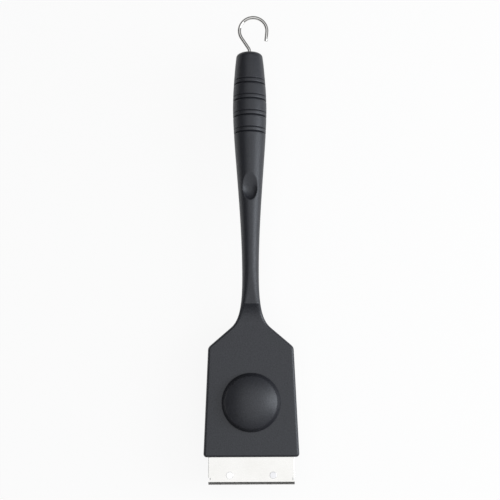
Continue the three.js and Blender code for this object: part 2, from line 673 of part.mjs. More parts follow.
// Rivet through the scraper and the tongue: the low head's seat is at the origin.
function rivet() {
  const grip = SCRAPER_SHEET + TONGUE_THICKNESS + 3 * SEAT_GAP;
  const [head, shank, tail] = [RIVET_HEAD / 2, RIVET_SHANK / 2, RIVET_TAIL / 2];
  return turned(
    [
      [0, -grip - RIVET_TAIL_RISE],
      [RIVET_TAIL_FACE / 2, -grip - RIVET_TAIL_RISE],
      [tail, -grip],
      [shank, -grip],
      [shank, 0],
      [head, 0],
      [RIVET_HEAD_FACE / 2, RIVET_HEAD_RISE],
      [0, RIVET_HEAD_RISE],
    ],
    BORE_SIDES,
  );
}

const stripYs = Array.from(
  { length: STRIPS },
  (_, i) => fieldFrontY + stripWidth / 2 + i * (stripWidth + SEAT_GAP),
);

// Brush block: fills the skirt, takes the head's bosses in pockets and the strips in a recess below.
function block() {
  const form = raised(
    innerOutline(SKIRT_WALL + BLOCK_GAP, cavityRearY - BLOCK_GAP, cavityFrontY + BLOCK_GAP),
    blockZ,
    blockZ + BLOCK_THICKNESS,
  );
  const lastStripY = stripYs[STRIPS - 1];
  const recess = box(
    new THREE.Vector3(-STRIP_LENGTH / 2 - SEAT_GAP, stripYs[0] - stripWidth / 2 - SEAT_GAP, blockZ - OVERCUT),
    new THREE.Vector3(
      STRIP_LENGTH / 2 + SEAT_GAP,
      lastStripY + stripWidth / 2 + SEAT_GAP,
      blockZ + STRIP_THICKNESS + SEAT_GAP,
    ),
  );
  const bosses = blockScrews.flatMap(({ x, y }) => [
    post(x, y, bossEndZ - SEAT_GAP, plateUnderZ + OVERCUT, bossRadius + FIT_GAP),
    post(x, y, blockZ - OVERCUT, plateUnderZ, screwHole),
    post(x, y, blockZ - OVERCUT, blockSeatZ, screwPocket),
  ]);
  const knobPocketZ = plateUnderZ - SEAT_GAP - SCREW_HEAD_HEIGHT - FIT_GAP;
  const knobPocket = post(0, knobY, knobPocketZ, plateUnderZ + OVERCUT, screwPocket);
  return cutBy(form, [recess, knobPocket, ...bosses]);
}

// One strand, from inside its strip down to the floor, leaning out from its tuft's middle.
function strand(x, y, angle) {
  const root = STRIP_THICKNESS / 2;
  const length = BRISTLE_LENGTH + root;
  const wire = new THREE.CylinderGeometry(STRAND_RADIUS, STRAND_RADIUS, length, STRAND_SIDES);
  wire.rotateX(Math.PI / 2).rotateZ(angle).translate(0, 0, root - length / 2);
  const lean = (TUFT_TIP_RADIUS - TUFT_ROOT_RADIUS) / BRISTLE_LENGTH;
  const splay = new THREE.Matrix4().set(
    1, 0, -lean * Math.cos(angle), x + TUFT_ROOT_RADIUS * Math.cos(angle),
    0, 1, -lean * Math.sin(angle), y + TUFT_ROOT_RADIUS * Math.sin(angle),
    0, 0, 1, 0,
    0, 0, 0, 1,
  );
  return solidOf(wire.applyMatrix4(splay));
}

// One strip: a slice of the backing with its rows of tufts, its underside at the origin.
function bristleStrip() {
  const slice = box(
    new THREE.Vector3(-STRIP_LENGTH / 2, -stripWidth / 2, 0),
    new THREE.Vector3(STRIP_LENGTH / 2, stripWidth / 2, STRIP_THICKNESS),
  );
  const strands = [];
  const rowPitch = stripWidth / TUFT_ROWS;
  for (let row = 0; row < TUFT_ROWS; row++)
    for (let column = 0; column < TUFT_COLUMNS; column++)
      for (let wire = 0; wire < STRANDS; wire++) {
        const x = (column - (TUFT_COLUMNS - 1) / 2) * TUFT_PITCH;
        const y = (row - (TUFT_ROWS - 1) / 2) * rowPitch;
        strands.push(strand(x, y, ((wire + 0.5) / STRANDS) * 2 * Math.PI));
      }
  return joined([slice, ...strands]);
}

// Hook: upset head, shank on the handle's axis, a slanted run, the loop and its straight tail.
function hook() {
  const headY = endY - END_WALL - FIT_GAP - HOOK_HEAD_HEIGHT;
  const centre = new THREE.Vector2(HOOK_OFFSET, hookTopY - HOOK_WIRE / 2 - HOOK_RADIUS);
  const start = Math.PI + HOOK_SLANT;
  const entry = new THREE.Vector2(Math.cos(start), Math.sin(start)).multiplyScalar(HOOK_RADIUS).add(centre);
  const slant = new THREE.Vector2(-Math.sin(HOOK_SLANT), Math.cos(HOOK_SLANT));
  const corner = entry.clone().addScaledVector(slant, entry.x / Math.sin(HOOK_SLANT));
  const bend = HOOK_BEND * Math.tan(HOOK_SLANT / 2);
  const bendEnd = corner.clone().addScaledVector(slant, bend);
  const route = new THREE.Path();
  route.moveTo(0, headY + HOOK_HEAD_HEIGHT / 2);
  route.lineTo(0, corner.y - bend);
  route.quadraticCurveTo(corner.x, corner.y, bendEnd.x, bendEnd.y);
  route.lineTo(entry.x, entry.y);
  route.absarc(centre.x, centre.y, HOOK_RADIUS, start, 0, true);
  route.lineTo(centre.x + HOOK_RADIUS, centre.y - HOOK_TAIL);
  const points = route.getSpacedPoints(HOOK_STEPS).map(({ x, y }) => new THREE.Vector3(x, y, axisZ));
  const settings = {
    steps: HOOK_STEPS,
    curveSegments: WIRE_SIDES / 2,
    bevelEnabled: false,
    extrudePath: new THREE.CatmullRomCurve3(points),
  };
  const section = new THREE.Shape().absarc(0, 0, HOOK_WIRE / 2, 0, 2 * Math.PI);
  const wire = solidOf(new THREE.ExtrudeGeometry(section, settings));
  return wire.add(axialBar(headY, headY + HOOK_HEAD_HEIGHT, HOOK_HEAD / 2, BORE_SIDES));
}

const plastic = () => new THREE.MeshStandardMaterial({ color: 0x2a2a2d, roughness: 0.55, metalness: 0 });
const steel = () => new THREE.MeshStandardMaterial({ color: 0xd9d8d4, roughness: 0.3, metalness: 1 });
const wireSteel = () => new THREE.MeshStandardMaterial({ color: 0xb9b7b2, roughness: 0.35, metalness: 1 });

function piece(name, shape, material) {
  const geometry = geometryOf(shape.isBufferGeometry ? solidOf(shape) : shape);
  const mesh = new THREE.Mesh(geometry, material);
  mesh.name = name;
  return mesh;
}

function placed(mesh, x, y, z) {
  mesh.position.set(x, y, z);
  return mesh;
}

const handle = new THREE.Group();
handle.add(piece("handle_top_shell", topShell(), plastic()));
handle.add(piece("handle_bottom_shell", bottomShell(), plastic()));
handleScrewYs.forEach((y, i) => {
  const mesh = piece(`handle_screw_${i + 1}`, screw(HANDLE_SCREW_LENGTH), steel());
  handle.add(placed(mesh, 0, y, handleSeatZ - SEAT_GAP));
});
handle.add(piece("hanging_hook", hook(), steel()));

const head = new THREE.Group();
head.add(placed(piece("palm_knob", knob(), plastic()), 0, knobY, plateZ + SEAT_GAP));
const knobScrew = piece("knob_screw", screw(KNOB_SCREW_LENGTH), steel());
head.add(placed(knobScrew, 0, knobY, plateUnderZ - SEAT_GAP));
head.add(piece("scraper_plate", scraper(), steel()));
rivetXs.forEach((x, i) => {
  const mesh = piece(`scraper_rivet_${["left", "right"][i]}`, rivet(), steel());
  head.add(placed(mesh, x, rivetY, scraperZ + SEAT_GAP));
});

const brush = new THREE.Group();
brush.add(piece("brush_block", block(), plastic()));
blockScrews.forEach(({ x, y }, i) => {
  const mesh = piece(`block_screw_${i + 1}`, screw(BLOCK_SCREW_LENGTH), steel());
  brush.add(placed(mesh, x, y, blockSeatZ - SEAT_GAP));
});
stripYs.forEach((y, i) => {
  const mesh = piece(`bristle_strip_${i + 1}`, bristleStrip(), wireSteel());
  brush.add(placed(mesh, 0, y, blockZ));
});

const grillBrush = new THREE.Group();
grillBrush.add(handle, head, brush);

export default grillBrush;
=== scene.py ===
"""A long-handled grill brush: black shells, palm knob, folded steel scraper, wire bristles and a wire hook.

Shapes are worked out in millimetres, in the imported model's frame, and put into meshes in metres.
"""

import math

import bmesh
import bpy
import numpy as np
from mathutils import Matrix, Vector


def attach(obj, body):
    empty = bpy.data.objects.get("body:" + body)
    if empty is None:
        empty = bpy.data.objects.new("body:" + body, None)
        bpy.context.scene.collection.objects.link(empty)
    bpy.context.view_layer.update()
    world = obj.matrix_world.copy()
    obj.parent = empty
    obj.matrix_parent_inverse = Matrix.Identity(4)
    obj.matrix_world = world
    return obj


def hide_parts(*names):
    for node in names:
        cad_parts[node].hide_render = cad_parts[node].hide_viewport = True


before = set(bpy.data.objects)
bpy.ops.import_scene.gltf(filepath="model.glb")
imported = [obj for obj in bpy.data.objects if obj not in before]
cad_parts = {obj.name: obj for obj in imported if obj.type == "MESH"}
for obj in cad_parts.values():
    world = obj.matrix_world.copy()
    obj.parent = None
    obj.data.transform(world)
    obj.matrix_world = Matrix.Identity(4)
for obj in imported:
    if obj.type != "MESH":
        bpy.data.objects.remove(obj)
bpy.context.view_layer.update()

MM = 0.001

# Places along the brush, from the scraper's lip to the top of the hook
LIP_Y = -228.5
FRONT_Y = -202.7
STEP_Y = -57.5
END_Y = 190.6
HOOK_TOP_Y = 228.4
GRIP_Y = END_Y - 55.4
NECK_Y = STEP_Y + 27.1
STEP_RUN = 22.5
STEP_FOOT_Y = STEP_Y - STEP_RUN
FLARE_Y = STEP_FOOT_Y
SHOULDER_Y = FLARE_Y - 18.7
ROOT_Y = STEP_Y - 4.5
CAVITY_REAR_Y = ROOT_Y - 4.0
CAVITY_FRONT_Y = FRONT_Y + 6.5
KNOB_Y = FRONT_Y + 51.4
RIVET_Y = LIP_Y + 8.8
RECESS_Y = END_Y - 138.6

# Heights over the floor
BLOCK_Z = 27.0
BLOCK_TOP_Z = 37.8
PLATE_UNDER_Z = 38.0
PLATE_Z = 41.5
SKIRT_Z = 28.5
AXIS_Z = 41.0
PARTING_Z = 40.8
SCRAPER_Z = 37.3
TONGUE_Z = 35.9
TONGUE_UNDER_Z = 30.9
BLOCK_SEAT_Z = 29.6
HANDLE_SEAT_Z = 35.0

# Handle sections, as full widths and depths
END_SIZE = 24.7
END_ROUND, END_INSET = 4.5, 8.0
GRIP_WIDTH, GRIP_DEPTH = 32.9, 30.92
NECK_WIDTH, NECK_DEPTH = 16.1, 18.4
GRIP_FULLNESS = 1.8
TAPER_BIAS = 0.85
HANDLE_WALL = 2.2
ROUND_TAIL = 12.0
SEAM_ROUND = 0.3

# Ring grooves: the upper one of each pair is finer than the lower one
GROOVE_TOPS = END_Y - 28.3 - 16.2 * np.arange(4)
GROOVE_SPACING = 4.2
GROOVE_WIDTHS = (1.5, 1.9)
GROOVE_DEPTHS = (0.95, 1.7)
GROOVE_SPAN = 1.0
GRIP_LEAN = 0.07
LEAN_ABOVE, LEAN_BELOW = 3.0, 6.0

# Thumb recess, an oval dish that is deepest below its middle
DISH_Y = RECESS_Y + 3.9
DISH_HALF_WIDTH, DISH_HALF_LENGTH = 7.25, 13.2
DISH_DEPTH = 4.2
DISH_RUN_OUT = 1.0
DISH_LOW = 0.35
DISH_FULLNESS, DISH_LOW_FULLNESS = 1.0, 0.6
DISH_LIP = 0.05

# Head
STEP_HEIGHT = 9.0
STEP_EDGE_ROUND = 3.0
STEP_LIP = 0.7
FLARE_WIDTH = 38.4
FLARE_EASE_NECK = 26.0
FLARE_EASE_SHOULDER = 8.0
SHOULDER_WIDTH = 82.0
SHOULDER_ROUND, SHOULDER_SPAN = 2.4, 3.0
FRONT_WIDTH = 91.16
FRONT_ROUND = 3.3
PLATE_EDGE_ROUND, PLATE_EDGE_FALL = 2.6, 3.4
SKIRT_WALL = 2.6
RIM_ROUND = 0.5

# Points of a ring's half arch, rim and inside, and the shares that its straight parts and corners have
ARCH_POINTS = 36
RIM_POINTS = 12
INNER_SEGMENTS = 2 * ARCH_POINTS - 2 * RIM_POINTS
SIDE_SHARE, FLAT_SHARE = 0.08, 0.56
RIM_SIDE_SHARE, RIM_CORNER_SHARE = 0.5, 0.4
WALL_SHARE = 0.2

# Facets and spacings, the angle that stays sharp, and the cells that make points one
END_STEPS = 12
CURVE_STEPS = 600
RECESS_STEP, GRIP_STEP = 0.4, 2.0
BORE_SIDES, SCREW_SIDES, RIVET_SIDES, KNOB_SIDES, HOOK_SIDES = 40, 72, 64, 128, 32
SHARP_ANGLE = math.radians(33)
MERGE, MERGE_SHIFT = 1e-4, 0.317

# Places inside the handle
HOLLOW_END_Y = END_Y - 12.7
POCKET_START_Y = END_Y - 9.7
POCKET_END_Y = END_Y - 6.0
POCKET_RADIUS = 3.85
BORE_RADIUS = 2.05
FACE_SLOPE = 0.01
RECESS_SPAN = 22.0

# Clearances, and how far cutters reach past a face or dip into it
SEAT_GAP = 0.2
FIT_GAP = 0.35
BLOCK_GAP = 0.4
CUT_PAST, CUT_DIP = 1.0, 0.02

# Palm knob
KNOB_BASE, KNOB_CAP = 56.0, 49.6
KNOB_WALL_HEIGHT = 7.0
KNOB_DOME_RISE = 6.9
KNOB_RIM_ROUND = 0.5
KNOB_FOOT = 0.8
KNOB_FOOT_ROUND = 0.6
KNOB_WALL = 2.6
KNOB_PILOT = 8.45

# Scraper and rivets
SCRAPER_WIDTH = 81.7
SCRAPER_SHEET = 1.2
SCRAPER_TUCK = 5.0
LIP_DEPTH = 11.0
LIP_BEND = 3.4
LIP_BEVEL, LIP_BEVEL_DROP, LIP_ROUND = 2.7, 2.1, 0.2
SIDE_BEND, SIDE_FOLD = 1.9, 0.45
SIDE_DEPTH = 4.6
CORNER_RELIEF = 2.2
PANEL_EDGE, PANEL_INSET = 0.3, 4.0
TONGUE_HALF = SCRAPER_WIDTH / 2 - SCRAPER_SHEET - SEAT_GAP
TONGUE_FRONT_Y = LIP_Y + LIP_BEND + SEAT_GAP
RIVET_X = 20.65
RIVET_HEAD, RIVET_HEAD_RISE = 6.6, 0.9
RIVET_CROWN, RIVET_EDGE = 0.06, 0.25
RIVET_SHANK = 3.0
RIVET_TAIL, RIVET_TAIL_FACE, RIVET_TAIL_RISE = 5.6, 4.2, 1.4
RIVET_TAIL_ROUND, RIVET_SEAT_ROUND = 0.6, 0.2

# Screws; their cross fades out between the two values of its width and of its reach
SCREW_HEAD, SCREW_FACE, SCREW_HEAD_HEIGHT = 6.4, 4.6, 2.2
SCREW_CROWN, SCREW_ROUND = 0.25, 0.6
SCREW_SHANK, SCREW_POINT = 3.0, 1.5
LONG_SCREW, SHORT_SCREW = 12.0, 7.4
CROSS_DEPTH, CROSS_TAPER = 1.3, 0.35
CROSS_WIDTH, CROSS_REACH = (0.62, 0.38), (1.75, 1.35)
SCREW_POCKET = SCREW_HEAD / 2 + FIT_GAP
SCREW_HOLE = SCREW_SHANK / 2 + FIT_GAP
BOSS_WALL = 2.2
BOSS_SINK, BOSS_EASE, BOSS_GAP = 2.0, 0.05, 0.1
HANDLE_SCREW_YS = np.array([END_Y - 38.6, RECESS_Y - 22.0, STEP_Y + 17.5])
BLOCK_SCREWS = [(x, FRONT_Y + 13.9) for x in (-34.0, 34.0)] + [(x, SHOULDER_Y - 2.1) for x in (-26.0, 26.0)]

# Brush block and bristles
BLOCK_ROUND, BLOCK_TOP_ROUND, BLOCK_RIM = 1.0, 0.2, 2.0
STRIP_LENGTH, STRIP_WIDTH, STRIP_THICKNESS = 70.0, 18.5, 1.6
STRIP_X, STRIP_Y = STRIP_LENGTH / 2, STRIP_WIDTH / 2
STRIP_YS = FRONT_Y + 19.2 + STRIP_Y + (STRIP_WIDTH + SEAT_GAP) * np.arange(4)
TUFT_ROWS, TUFT_COLUMNS, TUFT_PITCH = 3, 13, 5.0
TUFT_WIRES = 26
TUFT_ROOT, TUFT_TIP = 1.5, 2.8
WIRE_RADIUS = 0.17
WIRE_SEGMENTS = 7
WIRE_CRIMP, WIRE_CRIMP_START, WIRE_WAVE = 0.28, 0.25, 6.5
WIRE_SPREAD = 1.3
WIRE_STRAY = 0.35
WIRE_UNEVEN = 1.0
WIRE_SUNK = 0.5
WIRE_SEED = 20

# Hook
HOOK_WIRE, HOOK_RADIUS, HOOK_OFFSET = 3.4, 13.55, 3.75
HOOK_SLANT = math.radians(33)
HOOK_BEND = 6.0
HOOK_TAIL = 10.5
HOOK_TAIL_LEAN = math.radians(6)
HOOK_HEAD, HOOK_HEAD_HEIGHT, HOOK_HEAD_EDGE = 7.0, 3.0, 0.3
TAIL_ROUND = 0.35
BEND_STEPS, LOOP_STEPS, TAIL_STEPS = 24, 120, 5

# Finishes, with lengths in metres and scales per metre
RAMP_SPAN = (0.3, 0.7)
PIT_SCALE, PIT_DEPTH = 800.0, 0.0004
CLOUD_SCALE, STREAK_DEPTH = 60.0, 0.0001

# Studio, with the camera's places in metres
FLOOR_REACH, FLOOR_LINES = 3000.0, 9
FLOOR_WHITE = (0.93, 0.93, 0.93, 1.0)
FLOOR_GLOW = 0.9
CAMERA_ELEVATION = math.radians(82.8)
CAMERA_TARGET = (-0.00038, -0.00515, 0.041)
CAMERA_DISTANCE = 1.160
CAMERA_LENS, CAMERA_SENSOR, CAMERA_NEAR = 86.46, 36.0, 0.01
CAMERA_ROLL = math.radians(-0.28)


def share(value, start, end):
    """How far a value lies from start to end, held between 0 and 1."""
    return np.clip((value - start) / (end - start), 0.0, 1.0)


def ease(t):
    """Smooth step, 3t^2 - 2t^3."""
    return t * t * (3 - 2 * t)


def mix(a, b, t):
    """Straight blend from a to b."""
    return a + (b - a) * t


def round_off(radius, reach):
    """Rise of a circle's arc over its tangent, radius - sqrt(radius^2 - reach^2)."""
    return radius - np.sqrt(np.maximum(radius**2 - reach**2, 0.0))


def soft_min(a, b, reach):
    """Lower of two heights, with a rounded corner: blended by h within reach, less reach h(1 - h)."""
    h = np.clip(0.5 + 0.5 * (b - a) / reach, 0.0, 1.0)
    return mix(b, a, h) - reach * h * (1 - h)


def places(*runs):
    """Places along Y in one rising row: each run is a start, an end and the spacing between."""
    parts = [np.linspace(a, b, max(int(round((b - a) / step)), 1) + 1) for a, b, step in runs]
    return np.unique(np.round(np.concatenate(parts), 6))


# Meshes


def welded(points, faces):
    """Points and faces with coincident points made one; cells of no area go, three-cornered ones stay."""
    keys = np.floor(points / MERGE + MERGE_SHIFT).astype(np.int64)
    _, first, inverse = np.unique(keys, axis=0, return_index=True, return_inverse=True)
    faces = inverse.reshape(-1)[faces]
    same = faces == np.roll(faces, -1, axis=1)
    quads = faces[~same.any(axis=1)]
    once = same.sum(axis=1) == 1
    start = same[once].argmax(axis=1)
    triangles = np.take_along_axis(faces[once], (start[:, None] + [1, 2, 3]) % 4, axis=1)
    return points[first], quads.tolist() + triangles.tolist()


def grid_faces(rows, columns, wrap=False):
    """Quads of a grid of rows by columns points, row after row; wrap joins the last column to the first."""
    index = np.arange(rows * columns).reshape(rows, columns)
    following = np.roll(index, -1, axis=1)
    if not wrap:
        index, following = index[:, :-1], following[:, :-1]
    return np.stack([index[:-1], index[1:], following[1:], following[:-1]], axis=-1).reshape(-1, 4)


def stacked(x, y, z):
    """Points from coordinates whose shapes broadcast together."""
    return np.stack(np.broadcast_arrays(x, y, z), axis=-1)


def ring_body(rings, flip=False, bored=True):
    """Closed surface through rings that follow each other along +Y.

    A solid end is closed by a fan from its middle. A bored end is closed by quads between the first half of
    its ring, over the outside, and the second half, which runs back along the inside with as many points.
    """
    count, size = rings.shape[:2]
    index = np.arange(size)
    following = np.roll(index, -1)
    last = (count - 1) * size
    middle = np.full(size, count * size)
    middles = [rings[0].mean(axis=0)]
    ends = [np.stack([index, following, middle, middle], axis=-1)]
    if bored:
        outside = np.arange(size // 2 + 1)
        inside = (size - outside) % size
        ends.append(last + np.stack([inside[:-1], inside[1:], outside[1:], outside[:-1]], axis=-1))
    else:
        middles.append(rings[-1].mean(axis=0))
        ends.append(np.stack([last + following, last + index, middle + 1, middle + 1], axis=-1))
    points = np.concatenate([rings.reshape(-1, 3), middles])
    faces = np.concatenate([grid_faces(count, size, wrap=True), *ends])
    return welded(points, faces[:, ::-1] if flip else faces)


def turned(profile, sides, centre=(0.0, 0.0, 0.0)):
    """Rows of radius and height, from pole to pole or round a loop, turned about an upright axis."""
    profile = np.asarray(profile, float)
    angle = np.linspace(0, 2 * np.pi, sides, endpoint=False)
    radius, height = profile[:, :1], profile[:, 1:]
    points = stacked(radius * np.cos(angle), radius * np.sin(angle), height) + centre
    return welded(points.reshape(-1, 3), grid_faces(len(profile), sides, wrap=True)[:, ::-1])


def fillet(corner, before, after, radius, steps=5):
    """Round a profile's corner: an arc of quadratic form from radius before the corner to radius after it."""
    corner, before, after = (np.asarray(p, float) for p in (corner, before, after))
    start = corner + (before - corner) / np.linalg.norm(before - corner) * radius
    end = corner + (after - corner) / np.linalg.norm(after - corner) * radius
    t = np.linspace(0, 1, steps + 1)[:, None]
    return (1 - t) ** 2 * start + 2 * t * (1 - t) * corner + t**2 * end


def rounded(profile, radii):
    """Profile whose inner corners are rounded by the given radii; a radius of 0 leaves a corner sharp."""
    rows = [profile[:1]]
    for i, radius in enumerate(radii, start=1):
        before, corner, after = profile[i - 1 : i + 2]
        rows.append(fillet(corner, before, after, radius) if radius else [corner])
    return np.concatenate([*rows, profile[-1:]])


def scene_object(name, data):
    """New object of the scene, at the origin."""
    obj = bpy.data.objects.new(name, data)
    bpy.context.scene.collection.objects.link(obj)
    return obj


def mesh_object(name, points, faces):
    """Object at the origin with its mesh in metres."""
    mesh = bpy.data.meshes.new(name)
    mesh.from_pydata((np.asarray(points) * MM).tolist(), [], faces)
    return scene_object(name, mesh)


def cut_out(obj, shapes):
    """Cut each of the shapes (points and faces) out of an object's mesh in turn."""
    for points, faces in shapes:
        tool = mesh_object("tool", points, faces)
        modifier = obj.modifiers.new("cut", "BOOLEAN")
        modifier.operation, modifier.object, modifier.solver = "DIFFERENCE", tool, "EXACT"
        graph = bpy.context.evaluated_depsgraph_get()
        mesh = bpy.data.meshes.new_from_object(obj.evaluated_get(graph))
        obj.modifiers.clear()
        obj.data = mesh
        bpy.data.objects.remove(tool)


def add_in(obj, shapes):
    """Add further closed shapes (points and faces) to an object's mesh."""
    whole = bmesh.new()
    whole.from_mesh(obj.data)
    for points, faces in shapes:
        extra = mesh_object("extra", points, faces)
        whole.from_mesh(extra.data)
        bpy.data.objects.remove(extra)
    whole.to_mesh(obj.data)
    whole.free()


def finished(obj, finish, body, slot, *nodes):
    """Give a piece smooth shading, its material and body, and the CAD nodes that it stands for; its slot is not
    used.
    """
    mesh = obj.data
    mesh.shade_smooth()
    mesh.set_sharp_from_angle(angle=SHARP_ANGLE)
    mesh.materials.clear()
    mesh.materials.append(finish)
    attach(obj, body)
    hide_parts(*nodes)


# Form of the handle and head


def handle_size(y, at_end, at_grip, at_neck):
    """Size that swells from end to grip by a power of the way, and tapers to the neck by a smooth step."""
    swell = mix(at_grip, at_end, share(y, GRIP_Y, END_Y) ** GRIP_FULLNESS)
    taper = mix(at_grip, at_neck, ease(share(y, GRIP_Y, NECK_Y) ** TAPER_BIAS))
    return np.where(y > GRIP_Y, swell, taper)


def flare_half_width(y):
    """Cubic curve in plan from the neck's side to the straight shoulder, read off at each Y."""
    slope = (SHOULDER_WIDTH - FLARE_WIDTH) / 2 / (FLARE_Y - SHOULDER_Y)
    handles = [
        (NECK_WIDTH / 2, NECK_Y),
        (NECK_WIDTH / 2, NECK_Y - FLARE_EASE_NECK),
        (FLARE_WIDTH / 2 - slope * FLARE_EASE_SHOULDER, FLARE_Y + FLARE_EASE_SHOULDER),
        (FLARE_WIDTH / 2, FLARE_Y),
    ]
    t = np.linspace(0, 1, CURVE_STEPS)[:, None]
    weights = np.hstack([(1 - t) ** 3, 3 * t * (1 - t) ** 2, 3 * t**2 * (1 - t), t**3])
    curve = weights @ np.array(handles)
    return np.interp(-y, -curve[:, 1], curve[:, 0])


def head_half_width(y):
    """Two straight sides whose corner, |s|, is eased to (s^2 + a^2) / 2a within a of the shoulder."""
    shoulder_slope = (FLARE_WIDTH - SHOULDER_WIDTH) / 2 / (FLARE_Y - SHOULDER_Y)
    side_slope = (SHOULDER_WIDTH - FRONT_WIDTH) / 2 / (SHOULDER_Y - FRONT_Y)
    past = y - SHOULDER_Y
    eased = (past**2 + SHOULDER_ROUND**2) / (2 * SHOULDER_ROUND)
    bent = np.where(np.abs(past) < SHOULDER_ROUND, eased, np.abs(past))
    sides = (shoulder_slope + side_slope) * past + (shoulder_slope - side_slope) * bent
    return SHOULDER_WIDTH / 2 + sides / 2


def half_width(y):
    """Half the outline's width: handle, flare or head."""
    handle = handle_size(y, END_SIZE, GRIP_WIDTH, NECK_WIDTH) / 2
    return np.select([y >= NECK_Y, y > FLARE_Y], [handle, flare_half_width(y)], head_half_width(y))


def stretch(y):
    """Length across of a step of 1 square to the outline, sqrt(1 + slope^2)."""
    reach = 0.05
    return np.hypot(1, (half_width(y + reach) - half_width(y - reach)) / (2 * reach))


def crest_rise(y):
    """Crest over the axis: handle, then the lower of the neck and the hollow arc down to the plate."""
    handle = handle_size(y, END_SIZE, GRIP_DEPTH, NECK_DEPTH) / 2
    lip = PLATE_Z - AXIS_Z + STEP_HEIGHT
    neck = mix(NECK_DEPTH / 2, lip, ease(share(y, NECK_Y, STEP_Y)))
    arc = (STEP_RUN**2 + STEP_HEIGHT**2) / (2 * STEP_HEIGHT)
    hollow = PLATE_Z - AXIS_Z + round_off(arc, np.maximum(y - STEP_FOOT_Y, 0))
    return np.where(y >= NECK_Y, handle, soft_min(neck, hollow, STEP_LIP))


def belly_drop(y):
    """Belly under the handle's axis, a smooth step from the neck down to the skirt."""
    handle = handle_size(y, END_SIZE, GRIP_DEPTH, NECK_DEPTH) / 2
    neck = mix(NECK_DEPTH / 2, AXIS_Z - SKIRT_Z, ease(share(y, NECK_Y, ROOT_Y)))
    return np.where(y >= NECK_Y, handle, neck)


def roundness(y, flat_y):
    """0 for a flat crest with rounded edges, rising to 1 for an ellipse past the neck."""
    return ease(share(y, flat_y, NECK_Y + ROUND_TAIL))


def groove_depth(y):
    """Ring grooves, each a raised cosine of its own width and depth."""
    depth = np.zeros_like(y)
    for fall, width, deepest in zip((0.0, GROOVE_SPACING), GROOVE_WIDTHS, GROOVE_DEPTHS):
        off = np.abs(y[:, None] - (GROOVE_TOPS - fall)).min(axis=1)
        depth = np.maximum(depth, deepest * 0.5 * (1 + np.cos(np.pi * share(off, 0.0, width / 2))))
    return depth


def dish_depth(x, y):
    """Depth of the thumb recess: a power of 1 - u^2 - v^2 within its oval, softened at the rim.

    The power falls towards the lower end, which is full. The depth is weighted by 1 / (1 + kv) above the
    middle, which makes that end shallow, and by a rise that levels off below it.
    """
    u, v = x / DISH_HALF_WIDTH, (y - DISH_Y) / DISH_HALF_LENGTH
    within = 1 - u**2 - v**2
    within = (within + np.sqrt(within**2 + DISH_LIP**2)) / 2
    fall = DISH_RUN_OUT * v
    shallow = 1 / (1 + np.maximum(fall, 0))
    deep = 1 - DISH_LOW * np.tanh(np.minimum(fall, 0) / DISH_LOW)
    weight = np.where(v > 0, shallow, deep)
    fullness = mix(DISH_FULLNESS, DISH_LOW_FULLNESS, ease(np.clip(-v, 0.0, 1.0)))
    return DISH_DEPTH * weight * within**fullness


def upright(like, *values):
    """Each value, a number or a row like the given one, as a column."""
    return [np.broadcast_to(v, np.shape(like))[:, None] for v in values]


def arch(half, base, crown, edge_x, edge_z, gather, points=ARCH_POINTS):
    """Arches, one a row: up a straight side, round a quarter ellipse and along a flat crown, then mirrored.

    gather moves the points from the straight parts to the ellipse, which has them all at 1.
    """
    half, base, crown, edge_x, edge_z, gather = upright(half, half, base, crown, edge_x, edge_z, gather)
    u = np.linspace(0, 1, points + 1)
    side_end = SIDE_SHARE * (1 - gather)
    flat_start = 1 - FLAT_SHARE * (1 - gather)
    up = np.clip(u / np.maximum(side_end, 1e-9), 0, 1)
    turn = share(u, side_end, flat_start) * np.pi / 2
    run = np.clip((u - flat_start) / np.maximum(1 - flat_start, 1e-9), 0, 1)
    x = (half - edge_x * (1 - np.cos(turn))) * (1 - run)
    z = base + (crown - edge_z - base) * up + edge_z * np.sin(turn)
    return np.hstack([x, -x[:, -2::-1]]), np.hstack([z, z[:, -2::-1]])


def rim(half, level, base, wall, rounding=RIM_ROUND, side_share=RIM_SIDE_SHARE):
    """Left edge of a wall: down its side from level, round its lower corner and inwards along its end."""
    half, level, wall = upright(half, half, level, wall)
    v = np.linspace(0, 1, RIM_POINTS + 1)
    corner_end = side_share + RIM_CORNER_SHARE * (1 - side_share)
    down = np.clip(v / max(side_share, 1e-9), 0, 1)
    turn = share(v, side_share, corner_end) * np.pi / 2
    run = share(v, corner_end, 1.0)
    x = -half + rounding * (1 - np.cos(turn)) + (wall - rounding) * run
    z = mix(level, base + rounding, down) - rounding * np.sin(turn)
    return x, z


def closed_ring(y, outer, left_rim, inner):
    """Rings from an outer arch, the left rim, the inside from left to right and the right rim, as points."""
    (outer_x, outer_z), (rim_x, rim_z), (inner_x, inner_z) = outer, left_rim, inner
    x = np.hstack([outer_x, rim_x[:, 1:], inner_x[:, 1:], -rim_x[:, -2:0:-1]])
    z = np.hstack([outer_z, rim_z[:, 1:], inner_z[:, 1:], rim_z[:, -2:0:-1]])
    return stacked(x, y[:, None], z)


def flat_inside(half, base):
    """Straight inside of a solid ring, from left to right."""
    x = half[:, None] * np.linspace(-1, 1, INNER_SEGMENTS + 1)
    return x, np.full_like(x, base)


def boxed_inside(half, base, top):
    """Inside of a hollow head ring: up, across and down."""
    w = np.linspace(0, 1, INNER_SEGMENTS + 1)
    x = half[:, None] * (2 * share(w, WALL_SHARE, 1 - WALL_SHARE) - 1)
    z = base + (top - base) * share(np.minimum(w, 1 - w), 0.0, WALL_SHARE)
    return x, np.broadcast_to(z, x.shape)


def arched_inside(half, base, crown, edge_x, edge_z, gather):
    """Inside of a hollow handle ring, an arch from left to right."""
    x, z = arch(half, base, crown, edge_x, edge_z, gather, points=INNER_SEGMENTS // 2)
    return x[:, ::-1], z[:, ::-1]


